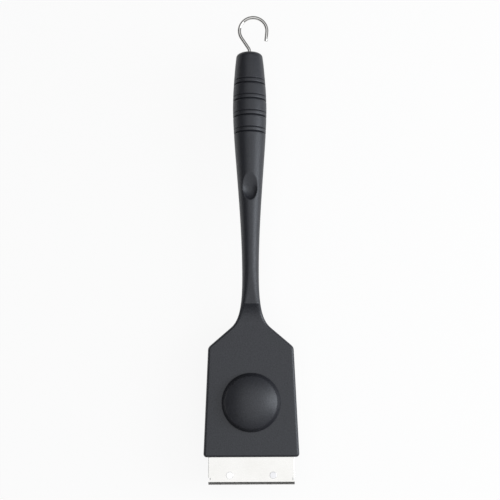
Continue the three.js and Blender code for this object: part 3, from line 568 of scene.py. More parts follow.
def crest_edges(y, half, rise):
    """Edge radii of the crest: the plate's, blending to the step's, then to the handle's whole ellipse."""
    to_step = share(y, STEP_FOOT_Y, STEP_Y)
    gather = roundness(y, STEP_FOOT_Y)
    edge_x = mix(mix(PLATE_EDGE_ROUND * stretch(y), STEP_EDGE_ROUND, to_step), half, gather)
    edge_z = mix(mix(PLATE_EDGE_FALL, STEP_EDGE_ROUND, to_step), rise, gather)
    return edge_x, edge_z, gather


def belly_edges(y, half, rise):
    """Edge radii of the belly: the step's at the root, blending to the handle's whole ellipse."""
    gather = roundness(y, ROOT_Y)
    return mix(STEP_EDGE_ROUND, half, gather), mix(STEP_EDGE_ROUND, rise, gather), gather


def handle_rings(side, base, first_y, hollow_y, hollow_places):
    """Rings of one handle shell, side 1 above the parting and -1 below it.

    From the root on: solid, hollow grip, solid thrust wall, pocket for the hook's head, bore and rounded end.
    """
    level = base + side * SEAM_ROUND
    rise_of, edges_of = (crest_rise, crest_edges) if side > 0 else (belly_drop, belly_edges)

    def block(y, inside, drawn_in=0.0):
        drawn_in = drawn_in + groove_depth(y)
        half = half_width(y) - drawn_in
        crown = AXIS_Z + side * (rise_of(y) - drawn_in)
        edge_x, edge_z, gather = edges_of(y, half, np.abs(crown - level))
        outer = arch(half, level, crown, edge_x, side * edge_z, gather)
        opening = inside(y, half)
        x, z = rim(half, SEAM_ROUND, 0.0, half + opening[0][:, 0], SEAM_ROUND, 0.0)
        return closed_ring(y, outer, (x, base + side * z), opening)

    def solid(y, half):
        return flat_inside(half - HANDLE_WALL, base)

    def hollow(y, half):
        inner = half_width(y) - HANDLE_WALL
        crown = AXIS_Z + side * (rise_of(y) - HANDLE_WALL)
        edge_x, edge_z, gather = edges_of(y, inner, np.abs(crown - base))
        return arched_inside(inner, base, crown, edge_x, side * edge_z, gather)

    def bored(radius):
        crown = AXIS_Z + side * radius
        return lambda y, half: arched_inside(np.full_like(y, radius), base, crown, radius, crown - base, 1.0)

    turn = np.linspace(0, np.pi / 2, END_STEPS)
    end_y = np.append(POCKET_END_Y + FACE_SLOPE, END_Y - END_ROUND * (1 - np.sin(turn)))
    end_in = np.append(0.0, END_INSET * (1 - np.cos(turn)))
    return [
        block(places((first_y, hollow_y, 0.5)), solid),
        block(hollow_places, hollow),
        block(places((HOLLOW_END_Y, POCKET_START_Y, 3.0)), solid),
        block(places((POCKET_START_Y + FACE_SLOPE, POCKET_END_Y, 4.0)), bored(POCKET_RADIUS)),
        block(end_y, bored(BORE_RADIUS), end_in),
    ]


def grip_places(hollow_y, recess_step):
    """Places along the hollow handle, close together at the neck, the recess and the ring grooves."""
    runs = [
        (hollow_y, NECK_Y, 1.2),
        (NECK_Y, RECESS_Y - RECESS_SPAN, GRIP_STEP),
        (RECESS_Y - RECESS_SPAN, RECESS_Y + RECESS_SPAN, recess_step),
        (RECESS_Y + RECESS_SPAN, HOLLOW_END_Y, GRIP_STEP),
    ]
    for top in GROOVE_TOPS:
        runs += [(y - GROOVE_SPAN, y + GROOVE_SPAN, 0.2) for y in (top, top - GROOVE_SPACING)]
    return places(*runs)


def head_rings():
    """Rings of the head and its scraper tongue, from the tongue's end to the root wall.

    The front edge is rounded in plan and over the plate by drawing the rings in, each along its own circle.
    """

    def head(y, hollow):
        drawn_in = round_off(FRONT_ROUND, np.maximum(FRONT_Y + FRONT_ROUND - y, 0))
        near = round_off(1.0, np.maximum(FRONT_Y + PLATE_EDGE_ROUND - y, 0) / PLATE_EDGE_ROUND)
        half = half_width(y) - drawn_in
        crown = AXIS_Z + crest_rise(y) - PLATE_EDGE_FALL * near
        edge_x, edge_z, gather = crest_edges(y, half, crown - AXIS_Z - SEAM_ROUND)
        edge_x, edge_z = edge_x * (1 - near), edge_z * (1 - near)
        level = np.minimum(AXIS_Z + SEAM_ROUND, crown - edge_z - RIM_ROUND)
        wall = SKIRT_WALL * stretch(y)
        inner = half - wall
        inside = boxed_inside(inner, SKIRT_Z, PLATE_UNDER_Z) if hollow else flat_inside(inner, SKIRT_Z)
        outer = arch(half, level, crown, edge_x, edge_z, gather)
        return closed_ring(y, outer, rim(half, level, SKIRT_Z, wall), inside)

    half, level = np.full(2, TONGUE_HALF), (TONGUE_Z + TONGUE_UNDER_Z) / 2
    tongue = closed_ring(
        np.array([TONGUE_FRONT_Y, FRONT_Y]),
        arch(half, level, TONGUE_Z, RIM_ROUND, RIM_ROUND, 0.0),
        rim(half, level, TONGUE_UNDER_Z, SKIRT_WALL),
        flat_inside(half - SKIRT_WALL, TONGUE_UNDER_Z),
    )
    inward = 1 - np.cos(np.linspace(0, np.pi / 2, END_STEPS))
    front = [FRONT_Y + FRONT_ROUND * inward, FRONT_Y + PLATE_EDGE_ROUND * inward, [CAVITY_FRONT_Y]]
    front_y = np.unique(np.round(np.concatenate(front), 6))
    hollow_y = places(
        (CAVITY_FRONT_Y, SHOULDER_Y - SHOULDER_SPAN, 4.0),
        (SHOULDER_Y - SHOULDER_SPAN, SHOULDER_Y + SHOULDER_SPAN, 0.3),
        (SHOULDER_Y + SHOULDER_SPAN, FLARE_Y - 1.0, 1.5),
        (FLARE_Y - 1.0, CAVITY_REAR_Y, 0.6),
    )
    solid_y = places((CAVITY_REAR_Y, ROOT_Y, 0.6))
    return [tongue, head(front_y, False), head(hollow_y, True), head(solid_y, False)]


def carved(rings):
    """Rings pressed down by the thumb recess, outside and inside alike, so that the wall stays."""
    pressed = rings.copy()
    pressed[..., 2] -= dish_depth(rings[..., 0], rings[..., 1])
    return pressed


def leaning(rings):
    """Rings of the grip leant by a shear that fades at both ends; the grooves then bow as seen from above."""
    y, z = rings[..., 1], rings[..., 2]
    below = ease(share(y, RECESS_Y + RECESS_SPAN, GROOVE_TOPS[-1] - LEAN_BELOW))
    above = ease(share(y, HOLLOW_END_Y, GROOVE_TOPS[0] + LEAN_ABOVE))
    leant = rings.copy()
    leant[..., 1] -= GRIP_LEAN * (below * above) * (AXIS_Z + GRIP_DEPTH / 2 - z)
    return leant


def box_shape(low, high):
    """Box between two corners."""
    xs, ys, zs = zip(low, high)
    corners = np.array([[x, y, z] for x in xs for y in ys for z in zs])
    return corners, [[0, 1, 3, 2], [4, 6, 7, 5], [0, 4, 5, 1], [2, 3, 7, 6], [0, 2, 6, 4], [1, 5, 7, 3]]


def post_shape(x, y, low, high, radius):
    """Upright round bar."""
    return turned([(0, low), (radius, low), (radius, high), (0, high)], BORE_SIDES, (x, y, 0))


def stepped_bore(x, y, mouth, seat, end):
    """Cutter for a screw from below: a pocket for its head up to the seat and a hole for its shank above."""
    pocket, hole = SCREW_POCKET, SCREW_HOLE
    profile = [(0, mouth), (pocket, mouth), (pocket, seat), (hole, seat), (hole, end), (0, end)]
    return turned(profile, BORE_SIDES, (x, y, 0))


def screw_boss(x, y, low, seat):
    """Tube on the bottom shell's wall: a pocket for a screw's head up to the seat and a hole above."""
    pocket, hole, outer = SCREW_POCKET + BOSS_EASE, SCREW_HOLE, SCREW_POCKET + BOSS_WALL
    top = PARTING_Z - BOSS_GAP
    loop = [(outer, low), (outer, top), (hole, top), (hole, seat), (pocket, seat), (pocket, low)]
    return turned(loop[-1:] + loop, BORE_SIDES, (x, y, 0))


# Finishes


def preset(node, values):
    """Set a node's inputs, or else its settings, by name."""
    for key, value in values.items():
        if key in node.inputs:
            node.inputs[key].default_value = value
        else:
            setattr(node, key, value)


def finish_nodes(name):
    """New node material, its surface shader, a maker of further nodes and a linker to the shader."""
    material = bpy.data.materials.new(name)
    material.use_nodes = True
    tree = material.node_tree
    shader = tree.nodes["Principled BSDF"]

    def node(kind, links=(), **values):
        made = tree.nodes.new(kind)
        preset(made, values)
        for source, socket in links:
            tree.links.new(source, made.inputs[socket])
        return made

    def feed(source, socket, target=shader):
        tree.links.new(source, target.inputs[socket])

    return material, shader, node, feed


def ramp(node, source, low, high):
    """Colour ramp between two grey levels or colours, over the middle of a pattern's values."""
    made = node("ShaderNodeValToRGB", [(source, "Fac")])
    for stop, place, value in zip(made.color_ramp.elements, RAMP_SPAN, (low, high)):
        stop.position = place
        stop.color = (*value, 1.0) if np.ndim(value) else (value, value, value, 1.0)
    return made.outputs["Color"]


def noise(node, source, scale, detail, roughness):
    """Noise pattern on object coordinates."""
    made = node("ShaderNodeTexNoise", [(source, "Vector")], Scale=scale, Detail=detail, Roughness=roughness)
    return made.outputs["Fac"]


def moulded_plastic(name, dark, pale, grain):
    """Black plastic with its mould's fine spark texture: pits vary its colour and gloss and dent it."""
    material, shader, node, feed = finish_nodes(name)
    place = node("ShaderNodeTexCoord").outputs["Object"]
    pits = noise(node, place, PIT_SCALE, detail=3.0, roughness=0.6)
    feed(ramp(node, pits, dark, pale), "Base Color")
    feed(ramp(node, pits, 0.50, 0.42), "Roughness")
    preset(shader, {"Specular IOR Level": 0.63, "Specular Tint": (0.93, 0.96, 1.0, 1.0)})
    bump = node("ShaderNodeBump", [(pits, "Height")], Strength=grain, Distance=PIT_DEPTH)
    feed(bump.outputs["Normal"], "Normal")
    return material


def worked_steel(name, dark, pale, scale, smooth, rough, depth, stretch_by=(1.0, 1.0, 1.0)):
    """Bare steel: clouds vary its colour, and streaks drawn out along one axis its gloss and a shallow bump."""
    material, shader, node, feed = finish_nodes(name)
    place = node("ShaderNodeTexCoord").outputs["Object"]
    drawn = node("ShaderNodeMapping", [(place, "Vector")], Scale=stretch_by).outputs["Vector"]
    streaks = noise(node, drawn, scale, detail=4.0, roughness=0.6)
    clouds = noise(node, place, CLOUD_SCALE, detail=3.0, roughness=0.5)
    preset(shader, {"Metallic": 1.0})
    feed(ramp(node, clouds, dark, pale), "Base Color")
    feed(ramp(node, streaks, smooth, rough), "Roughness")
    bump = node("ShaderNodeBump", [(streaks, "Height")], Strength=depth, Distance=STREAK_DEPTH)
    feed(bump.outputs["Normal"], "Normal")
    return material


black_plastic = moulded_plastic("spark_textured_black", (0.014, 0.0147, 0.019), (0.024, 0.0252, 0.032), 0.35)
block_plastic = moulded_plastic("block_black", (0.014, 0.014, 0.015), (0.024, 0.024, 0.026), 0.10)

# Steels: dark and pale colour, the streaks' scale, least and most roughness, the bump's depth and any stretch
scraper_steel = worked_steel(
    "bright_rolled_sheet", (0.825, 0.82, 0.80), (0.86, 0.855, 0.84), 160.0, 0.22, 0.28, 0.03, (1.0, 12.0, 12.0)
)
# Both rivets are one steel. The left one's paler colour is a painted highlight and the right one's darker
# colour is a painted shade, standing in for the different reflections of their tilted heads. The right one's
# higher roughness is real.
rivet_painted_highlight = worked_steel("rivet_painted_highlight", (0.90, 0.90, 0.91), (0.95, 0.95, 0.96), 900.0, 0.22, 0.32, 0.06)
satin_rivet_painted_shade = worked_steel("satin_rivet_painted_shade", (0.76, 0.765, 0.79), (0.82, 0.825, 0.85), 900.0, 0.26, 0.38, 0.06)
hook_steel = worked_steel("polished_wire", (0.50, 0.495, 0.485), (0.58, 0.575, 0.565), 500.0, 0.08, 0.14, 0.03)
screw_steel = worked_steel("zinc_plate", (0.56, 0.56, 0.58), (0.68, 0.68, 0.71), 800.0, 0.25, 0.4, 0.06)
bristle_steel = worked_steel(
    "drawn_bristle_wire", (0.50, 0.48, 0.45), (0.70, 0.68, 0.64), 700.0, 0.22, 0.36, 0.05, (1.0, 1.0, 0.2)
)


# Top shell: head plate, skirt and scraper tongue, and the upper half of the handle
hollow_y = STEP_Y + HANDLE_WALL
top_rings = head_rings() + handle_rings(1, AXIS_Z, ROOT_Y, hollow_y, grip_places(hollow_y, RECESS_STEP))
top_shell = mesh_object("top_moulding", *ring_body(leaning(carved(np.concatenate(top_rings)))))
slot_x, slot_y = SCRAPER_WIDTH / 2 - SIDE_BEND + SEAT_GAP, FRONT_Y + SCRAPER_TUCK + SEAT_GAP
slot_low = (-slot_x, FRONT_Y - CUT_PAST, TONGUE_Z - CUT_DIP)
cut_out(top_shell, [box_shape(slot_low, (slot_x, slot_y, SCRAPER_Z + SEAT_GAP))])
finished(top_shell, black_plastic, "brush", "black_plastic", "handle_top_shell")

# Bottom shell: the lower half of the handle, with the screws' pockets and bosses
root_y = ROOT_Y + SEAT_GAP
hollow_y = root_y + HANDLE_WALL
bottom_rings = handle_rings(-1, PARTING_Z, root_y, hollow_y, grip_places(hollow_y, GRIP_STEP))
bottom_shell = mesh_object("bottom_moulding", *ring_body(leaning(np.concatenate(bottom_rings)), flip=True))
bosses = list(zip(HANDLE_SCREW_YS, AXIS_Z - belly_drop(HANDLE_SCREW_YS)))
cut_out(bottom_shell, [post_shape(0, y, z - CUT_PAST, HANDLE_SEAT_Z, SCREW_POCKET) for y, z in bosses])
add_in(bottom_shell, [screw_boss(0, y, z + BOSS_SINK, HANDLE_SEAT_Z) for y, z in bosses])
finished(bottom_shell, black_plastic, "brush", "black_plastic", "handle_bottom_shell")


def knob_profile():
    """Hollow cap: boss and underside of the CAD form, drafted wall, rounded rim and a dome of one circle."""
    base, cap = KNOB_BASE / 2, KNOB_CAP / 2
    circle = (cap**2 + KNOB_DOME_RISE**2) / (2 * KNOB_DOME_RISE)

    def dome(radius, drop):
        return KNOB_WALL_HEIGHT + KNOB_DOME_RISE - drop - round_off(circle, radius)

    hole, boss = SCREW_HOLE, SCREW_HOLE + BOSS_WALL
    under = np.linspace(boss, cap - KNOB_WALL, 12)
    over = np.linspace(cap - 1.5 * KNOB_RIM_ROUND, 0, 30)
    wall = rounded(
        [(base, 0), (base, KNOB_FOOT), (cap, KNOB_WALL_HEIGHT), (over[0], dome(over[0], 0))],
        [KNOB_FOOT_ROUND, KNOB_RIM_ROUND],
    )
    rows = [
        [(0, KNOB_PILOT), (hole, KNOB_PILOT), (hole, 0), (boss, 0)],
        np.stack([under, dome(under, KNOB_WALL)], axis=1),
        [(base - KNOB_WALL, 0)],
        wall,
        np.stack([over[1:], dome(over[1:], 0)], axis=1),
    ]
    return np.concatenate(rows)


knob = mesh_object("palm_knob_cap", *turned(knob_profile(), KNOB_SIDES, (0, KNOB_Y, PLATE_Z + SEAT_GAP)))
finished(knob, black_plastic, "brush", "black_plastic", "palm_knob")


def scraper_sheet():
    """Top face of the folded sheet: a profile of tuck, panel, bend and lip carried along X, and two flanges.

    The lip is folded over a flat bevel, each flange over a quarter circle. The lip's ends pass the notches.
    """
    half, panel = SCRAPER_WIDTH / 2, SCRAPER_WIDTH / 2 - SIDE_BEND
    lip_start = LIP_Y + LIP_BEND + CORNER_RELIEF / 2
    flange_y = np.linspace(lip_start + CORNER_RELIEF, FRONT_Y - SEAT_GAP, 12)
    turn = np.linspace(0, np.pi / 2, 13)[:, None]
    lip = rounded(
        [
            (lip_start, SCRAPER_Z), (LIP_Y + LIP_BEVEL, SCRAPER_Z),
            (LIP_Y, SCRAPER_Z - LIP_BEVEL_DROP), (LIP_Y, SCRAPER_Z - LIP_DEPTH),
        ],
        [LIP_ROUND, LIP_ROUND],
    )
    flat_y = np.concatenate([[FRONT_Y + SCRAPER_TUCK], flange_y[::-1]])
    whole = np.concatenate([np.stack([flat_y, np.full_like(flat_y, SCRAPER_Z)], axis=1), lip])
    middle = np.linspace(-panel + PANEL_INSET, panel - PANEL_INSET, 12)
    across = np.concatenate([[-panel, PANEL_EDGE - panel], middle, [panel - PANEL_EDGE, panel]])
    side_arc = np.hstack([half - SIDE_FOLD * (1 - np.sin(turn)), SCRAPER_Z - SIDE_FOLD * (1 - np.cos(turn))])
    side = np.concatenate([[(panel, SCRAPER_Z)], side_arc, [(half, SCRAPER_Z - SIDE_DEPTH)]])

    def carried(profile, xs):
        return stacked(xs, profile[:, :1], profile[:, 1:])

    def flange(sign):
        grid = stacked(sign * side[:, 0], flange_y[::-1, None], side[:, 1])
        return grid if sign > 0 else grid[:, ::-1]

    ends = np.linspace(panel, half, 3)
    grids = [carried(whole, across), carried(lip, ends), carried(lip, -ends[::-1]), flange(1), flange(-1)]
    points = np.concatenate([g.reshape(-1, 3) for g in grids])
    starts = np.cumsum([0] + [g.size // 3 for g in grids[:-1]])
    faces = np.concatenate([s + grid_faces(*g.shape[:2]) for s, g in zip(starts, grids)])
    return welded(points, faces)


def scraper_inside(points):
    """Inner face of the sheet for its top face's points; a fold's points lie on its inner, mitred corner."""
    half = SCRAPER_WIDTH / 2
    x, y, z = points.T
    inner = points - (0.0, 0.0, SCRAPER_SHEET)
    flange = (np.abs(x) > half - SIDE_BEND + MERGE) & (y > LIP_Y + LIP_BEND + CORNER_RELIEF)
    inner[flange, 0] = np.sign(x[flange]) * (half - SCRAPER_SHEET)
    straight = z[flange] < SCRAPER_Z - SIDE_FOLD - MERGE
    inner[flange, 2] = np.where(straight, z[flange], SCRAPER_Z - SCRAPER_SHEET)
    bevel = math.atan2(LIP_BEVEL_DROP, LIP_BEVEL)
    upper = (y < LIP_Y + LIP_BEVEL + LIP_ROUND + MERGE) & (z > SCRAPER_Z - LIP_BEVEL_DROP / 2)
    inner[upper, 1] = LIP_Y + LIP_BEVEL + SCRAPER_SHEET * math.tan(bevel / 2)
    inner[upper, 2] = SCRAPER_Z - SCRAPER_SHEET
    lower = (y < LIP_Y + LIP_BEVEL / 2) & (z < SCRAPER_Z - LIP_BEVEL_DROP / 2)
    tip = z < SCRAPER_Z - LIP_DEPTH + MERGE
    fold = SCRAPER_SHEET * math.tan(math.pi / 4 - bevel / 2)
    inner[lower, 1] = LIP_Y + SCRAPER_SHEET
    inner[lower, 2] = np.where(tip[lower], z[lower], SCRAPER_Z - LIP_BEVEL_DROP - fold)
    return inner


def thickened(points, faces, inner):
    """Closed sheet: a top face, an inner face of the same cells, and quads along its free edges."""
    outer = np.asarray(faces)
    count = len(points)
    start, end = outer.reshape(-1), np.roll(outer, -1, axis=1).reshape(-1)
    free = ~np.isin(start * count + end, end * count + start)
    rims = np.stack([end[free], start[free], start[free] + count, end[free] + count], axis=-1)
    return welded(np.concatenate([points, inner]), np.concatenate([outer, outer[:, ::-1] + count, rims]))


sheet_points, sheet_faces = scraper_sheet()
scraper = mesh_object("folded_scraper", *thickened(sheet_points, sheet_faces, scraper_inside(sheet_points)))
finished(scraper, scraper_steel, "brush", "scraper_steel", "scraper_plate")


def rivet_shape(x, tilt):
    """Turned rivet: upset tail, shank and a flat head with a rounded edge and a slight parabolic crown.

    The head is sheared by a small tilt, as setting leaves it.
    """
    grip = SCRAPER_SHEET + TONGUE_Z - TONGUE_UNDER_Z + 3 * SEAT_GAP
    head, shank, tail = RIVET_HEAD / 2, RIVET_SHANK / 2, RIVET_TAIL / 2
    crown = np.linspace(head - RIVET_EDGE, 0, 10)
    top = np.stack([crown, RIVET_HEAD_RISE - RIVET_CROWN * (crown / head) ** 2], axis=1)
    tail_z, edge_z = -grip - RIVET_TAIL_RISE, RIVET_HEAD_RISE - RIVET_CROWN
    lower = rounded(
        [(0, tail_z), (RIVET_TAIL_FACE / 2, tail_z), (tail, -grip), (shank, -grip)],
        [RIVET_TAIL_ROUND, RIVET_SEAT_ROUND],
    )
    edge = rounded([(shank, 0), (head, 0), (head, edge_z), tuple(top[0])], [0.0, RIVET_EDGE])
    points, faces = turned(np.concatenate([lower, edge[:-1], top]), RIVET_SIDES)
    lift = share(points[:, 2], 0.0, RIVET_HEAD_RISE)
    points[:, 2] += lift * (points[:, 0] * tilt[0] + points[:, 1] * tilt[1])
    return points + (x, RIVET_Y, SCRAPER_Z + SEAT_GAP), faces


# The left rivet takes the steel with the painted highlight, the right rivet the steel with the painted shade.
for label, x, tilt, steel in (
    ("left", -RIVET_X, (0.0, 0.0), rivet_painted_highlight),
    ("right", RIVET_X, (-0.03, 0.03), satin_rivet_painted_shade),
):
    rivet = mesh_object(f"rivet_{label}", *rivet_shape(x, tilt))
    finished(rivet, steel, "brush", "rivet_steel", f"scraper_rivet_{label}")


def screw_shape(x, y, seat, length):
    """Turned pan-head screw, head down, its face pressed in by a tapering cross of two smooth-edged bars."""
    head, shank = SCREW_HEAD / 2, SCREW_SHANK / 2
    face = np.linspace(0, SCREW_FACE / 2, 26)
    crown = np.stack([face, -SCREW_HEAD_HEIGHT + SCREW_CROWN * (face / face[-1]) ** 2], axis=1)
    corners = [tuple(crown[-1]), (head, -SCREW_HEAD_HEIGHT / 2), (head, 0), (shank, 0)]
    side = rounded(corners, [SCREW_ROUND, 0.0])
    tip = [(shank, length - SCREW_POINT), (0, length)]
    points, faces = turned(np.concatenate([crown, side[1:], tip]), SCREW_SIDES)
    u, v = np.abs(points[:, 0]), np.abs(points[:, 1])
    bars = [ease(share(a, *CROSS_WIDTH)) * ease(share(b, *CROSS_REACH)) for a, b in ((u, v), (v, u))]
    pressed = np.maximum(*bars) * (points[:, 2] < -SCREW_HEAD_HEIGHT / 2)
    points[:, 2] += pressed * CROSS_DEPTH * (1 - CROSS_TAPER * np.hypot(u, v) / CROSS_REACH[0])
    return points + (x, y, seat - SEAT_GAP), faces


screws = [(f"handle_screw_{i}", 0.0, y, HANDLE_SEAT_Z, LONG_SCREW) for i, y in enumerate(HANDLE_SCREW_YS, 1)]
screws += [(f"block_screw_{i}", x, y, BLOCK_SEAT_Z, SHORT_SCREW) for i, (x, y) in enumerate(BLOCK_SCREWS, 1)]
screws += [("knob_screw", 0.0, KNOB_Y, PLATE_UNDER_Z, LONG_SCREW)]
for node_name, x, y, seat, length in screws:
    screw = mesh_object(f"{node_name}_pan_head", *screw_shape(x, y, seat, length))
    finished(screw, screw_steel, "brush", "screw_steel", node_name)


def block_rings():
    """Rings of the brush block: flat top, upright sides and rounded lower edges, drawn up at both ends."""
    start, end = CAVITY_FRONT_Y + BLOCK_GAP, CAVITY_REAR_Y - BLOCK_GAP
    y = places(
        (start, start + BLOCK_ROUND, 0.2),
        (start + BLOCK_ROUND, SHOULDER_Y - SHOULDER_SPAN, 6.0),
        (SHOULDER_Y - SHOULDER_SPAN, SHOULDER_Y + SHOULDER_SPAN, 0.5),
        (SHOULDER_Y + SHOULDER_SPAN, FLARE_Y, 2.0),
        (FLARE_Y, end - BLOCK_ROUND, 1.0),
        (end - BLOCK_ROUND, end, 0.2),
    )
    near = np.minimum(y - start, end - y)
    drop = round_off(BLOCK_ROUND, np.maximum(BLOCK_ROUND - near, 0))
    half = half_width(y) - (SKIRT_WALL + BLOCK_GAP) * stretch(y)
    edge = np.maximum(BLOCK_ROUND - drop, 0)
    outer = arch(half, BLOCK_TOP_Z - BLOCK_RIM, BLOCK_Z + drop, edge, -edge, 0.0)
    x, z = rim(half, BLOCK_RIM, 0.0, SKIRT_WALL, BLOCK_TOP_ROUND)
    return closed_ring(y, outer, (x, BLOCK_TOP_Z - z), flat_inside(half - SKIRT_WALL, BLOCK_TOP_Z))


block = mesh_object("brush_backing", *ring_body(block_rings(), flip=True, bored=False))
field_x, field_y = STRIP_X + SEAT_GAP, STRIP_Y + SEAT_GAP
field_top = BLOCK_Z + STRIP_THICKNESS + SEAT_GAP
below, above = BLOCK_Z - CUT_PAST, BLOCK_TOP_Z + CUT_PAST
field = box_shape((-field_x, STRIP_YS[0] - field_y, below), (field_x, STRIP_YS[-1] + field_y, field_top))
cut_out(block, [field, *(stepped_bore(x, y, below, BLOCK_SEAT_Z, above) for x, y in BLOCK_SCREWS)])
finished(block, block_plastic, "brush", "black_plastic", "brush_block")


def strip_wires(centre_y, draws):
    """Wires of one strip: tufts in rows, each wire a square bar along a leaning, crimped line.

    A wire's root lies in its tuft's hole, its tip is spread outwards, and two sine waves crimp it in between.
    """
    rows = (np.arange(TUFT_ROWS) - (TUFT_ROWS - 1) / 2) * STRIP_WIDTH / TUFT_ROWS
    columns = (np.arange(TUFT_COLUMNS) - (TUFT_COLUMNS - 1) / 2) * TUFT_PITCH
    tufts = np.stack(np.meshgrid(columns, rows, indexing="ij"), axis=-1).reshape(-1, 1, 2)
    count = (len(tufts), TUFT_WIRES)
    spin = draws.uniform(0, 2 * np.pi, count)
    reach = np.sqrt(draws.uniform(0, 1, count))
    lean = np.stack([np.cos(spin), np.sin(spin)], axis=-1) * reach[..., None]
    root = tufts + lean * TUFT_ROOT
    spread = lean * (TUFT_TIP - TUFT_ROOT) + draws.normal(0, WIRE_STRAY, (*count, 2))
    length = BLOCK_Z - draws.uniform(0, WIRE_UNEVEN, count) ** 2 / WIRE_UNEVEN
    t = np.linspace(0, 1, WIRE_SEGMENTS + 1)[:, None]
    phase = draws.uniform(0, 2 * np.pi, (*count, 1, 2))
    wave = WIRE_CRIMP * np.sin(2 * np.pi * t * BLOCK_Z / WIRE_WAVE + phase)
    wave *= ease(share(t, 0.0, WIRE_CRIMP_START))
    line = root[..., None, :] + spread[..., None, :] * t**WIRE_SPREAD + wave
    line = np.clip(line, (-STRIP_X, -STRIP_Y), (STRIP_X, STRIP_Y))
    z = BLOCK_Z + WIRE_SUNK - (length[..., None] + WIRE_SUNK) * t[:, 0]
    corner = np.pi / 2 * np.arange(4) + np.pi / 4
    bar = WIRE_RADIUS * np.stack([np.cos(corner), np.sin(corner)], axis=-1)
    flat = line[..., None, :] + bar
    rings = stacked(flat[..., 0], flat[..., 1] + centre_y, z[..., None])
    wires = rings.reshape(-1, (WIRE_SEGMENTS + 1) * 4, 3)
    sides = grid_faces(WIRE_SEGMENTS + 1, 4, wrap=True)[:, ::-1]
    tip = WIRE_SEGMENTS * 4
    one = np.concatenate([sides, [[3, 2, 1, 0]], [[tip, tip + 1, tip + 2, tip + 3]]])[:, ::-1]
    faces = (np.arange(len(wires)) * wires.shape[1])[:, None, None] + one
    return wires.reshape(-1, 3), faces.reshape(-1, 4)


draws = np.random.default_rng(WIRE_SEED)
for i, y in enumerate(STRIP_YS, 1):
    points, faces = strip_wires(y, draws)
    slab_low, slab_high = (-STRIP_X, y - STRIP_Y, BLOCK_Z), (STRIP_X, y + STRIP_Y, BLOCK_Z + STRIP_THICKNESS)
    slab_points, slab_faces = box_shape(slab_low, slab_high)
    whole = slab_faces + (faces + len(slab_points)).tolist()
    strip = mesh_object(f"wire_tufts_{i}", np.concatenate([slab_points, points]), whole)
    finished(strip, bristle_steel, "brush", "bristle_wire", f"bristle_strip_{i}")
    strip.data.materials.append(block_plastic)
    kinds = np.zeros(len(whole), np.int32)
    kinds[: len(slab_faces)] = 1
    strip.data.polygons.foreach_set("material_index", kinds)


def hook_shape():
    """Wire of one radius along its bent line, with the upset head at its start and a rounded cut at its end.

    The line: straight out of the handle, a quadratic bend, a slanted run, the loop's arc and a straight tail.
    """
    centre = np.array([HOOK_OFFSET, HOOK_TOP_Y - HOOK_WIRE / 2 - HOOK_RADIUS])
    start = np.pi + HOOK_SLANT
    entry = centre + HOOK_RADIUS * np.array([np.cos(start), np.sin(start)])
    slant = np.array([-np.sin(HOOK_SLANT), np.cos(HOOK_SLANT)])
    corner = entry + slant * entry[0] / np.sin(HOOK_SLANT)
    bend = HOOK_BEND * np.tan(HOOK_SLANT / 2)
    turn = fillet(corner, corner - np.array([0, 1]), corner + slant, bend, BEND_STEPS)
    angle = np.linspace(start, -HOOK_TAIL_LEAN, LOOP_STEPS + 1)[:, None]
    loop = centre + HOOK_RADIUS * np.hstack([np.cos(angle), np.sin(angle)])
    wire, head, edge = HOOK_WIRE / 2, HOOK_HEAD / 2, HOOK_HEAD_EDGE
    neck_y = POCKET_END_Y - FIT_GAP
    head_y = neck_y - HOOK_HEAD_HEIGHT
    head_rows = [
        (0, head_y, 0), (0, head_y, head - edge), (0, head_y + edge, head), (0, neck_y - edge, head),
        (0, neck_y, head - edge), (0, neck_y, wire),
    ]
    down = -np.array([np.sin(HOOK_TAIL_LEAN), np.cos(HOOK_TAIL_LEAN)])
    run = (centre[1] - HOOK_TAIL - loop[-1, 1]) / down[1]
    tail_rows = [
        (*(loop[-1] + down * (run - TAIL_ROUND * (1 - np.sin(a)))), wire - TAIL_ROUND * (1 - np.cos(a)))
        for a in np.linspace(0, np.pi / 2, TAIL_STEPS + 1)
    ]
    line = np.concatenate([turn, loop])
    line_rows = np.column_stack([line, np.full(len(line), wire)])
    rows = np.concatenate([head_rows, line_rows, tail_rows, [(*(loop[-1] + down * run), 0)]])
    way = np.gradient(rows[:, :2], axis=0)
    way[: len(head_rows)] = (0, 1)
    way[-len(tail_rows) - 1 :] = down
    way /= np.linalg.norm(way, axis=1)[:, None]
    around = np.linspace(0, 2 * np.pi, HOOK_SIDES, endpoint=False)
    sideways = np.stack([-way[:, 1], way[:, 0]], axis=1)
    flat = rows[:, None, :2] + rows[:, 2, None, None] * np.cos(around)[:, None] * sideways[:, None, :]
    z = AXIS_Z + rows[:, 2, None] * np.sin(around)
    rings = np.concatenate([flat, z[..., None]], axis=-1)
    return welded(rings.reshape(-1, 3), grid_faces(len(rows), HOOK_SIDES, wrap=True)[:, ::-1])


hook = mesh_object("swivel_hook", *hook_shape())
finished(hook, hook_steel, "hook", "hook_steel", "hanging_hook")


# Floor, light and camera


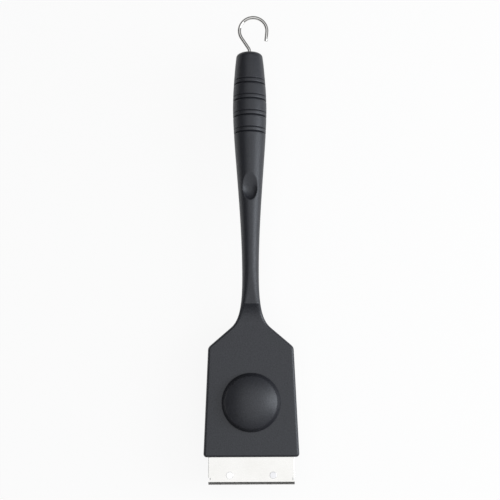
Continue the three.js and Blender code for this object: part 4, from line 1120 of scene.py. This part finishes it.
def studio_floor():
    """Square white floor under the bristle tips.

    Seen directly or in a reflection, it is a blend of plain white and the lit floor, which keeps the shadow.
    """
    side = np.linspace(-FLOOR_REACH, FLOOR_REACH, FLOOR_LINES)
    points = stacked(side[:, None], side, 0.0).reshape(-1, 3)
    floor = mesh_object("studio_floor", points, grid_faces(FLOOR_LINES, FLOOR_LINES).tolist())
    material, shader, node, feed = finish_nodes("white_floor")
    preset(shader, {"Base Color": FLOOR_WHITE, "Roughness": 0.9, "Specular IOR Level": 0.0})
    rays = node("ShaderNodeLightPath").outputs
    seen = rays["Is Camera Ray"]
    for kind in ("Is Glossy Ray", "Is Transmission Ray"):
        either = node("ShaderNodeMath", [(seen, 0), (rays[kind], 1)], operation="MAXIMUM")
        seen = either.outputs["Value"]
    backing = node("ShaderNodeMath", [(seen, 0)], operation="MULTIPLY")
    backing.inputs[1].default_value = FLOOR_GLOW
    white = node("ShaderNodeEmission")
    links = [(backing.outputs["Value"], 0), (shader.outputs[0], 1), (white.outputs[0], 2)]
    blend = node("ShaderNodeMixShader", links)
    feed(blend.outputs[0], "Surface", material.node_tree.nodes["Material Output"])
    floor.data.materials.append(material)


def soft_light(name, place, target, size, power, colour):
    """Rectangular soft light at a place, facing a target, both in metres."""
    light = bpy.data.lights.new(name, "AREA")
    light.shape = "RECTANGLE"
    light.size, light.size_y = size
    light.energy = power
    light.color = colour
    lamp = scene_object(name, light)
    lamp.location = place
    lamp.rotation_euler = (Vector(target) - Vector(place)).to_track_quat("-Z", "Y").to_euler()
    lamp.visible_camera = False


def studio():
    """Wide panel overhead, a brighter soft panel low at the right and a dim room."""
    soft_light("overhead", (0.35, -0.35, 1.6), (0.35, -0.35, 0.0), (2.2, 3.0), 22.0, (1.0, 1.0, 1.0))
    soft_light("key_right", (1.35, -0.05, 0.75), (0.0, 0.0, 0.04), (0.8, 1.1), 16.5, (0.94, 0.97, 1.0))
    world = bpy.data.worlds.new("dim_room")
    world.use_nodes = True
    preset(world.node_tree.nodes["Background"], {"Color": (0.07, 0.07, 0.07, 1.0), "Strength": 1.0})
    bpy.context.scene.world = world
    bpy.context.scene.view_settings.view_transform = "Standard"


def photo_camera():
    """Camera nearly straight above, tipped towards the scraper, rolled a little."""
    away = Vector((0.0, -math.cos(CAMERA_ELEVATION), math.sin(CAMERA_ELEVATION)))
    camera = bpy.data.cameras.new("photo_camera")
    camera.lens = CAMERA_LENS
    camera.sensor_width = CAMERA_SENSOR
    camera.clip_start = CAMERA_NEAR
    view = scene_object("photo_camera", camera)
    view.location = Vector(CAMERA_TARGET) + away * CAMERA_DISTANCE
    right = Vector((0.0, 1.0, 0.0)).cross(away).normalized()
    turn = Matrix((right, away.cross(right), away)).transposed()
    view.rotation_euler = (turn @ Matrix.Rotation(CAMERA_ROLL, 3, "Z")).to_euler()
    bpy.context.scene.camera = view


studio_floor()
studio()
photo_camera()
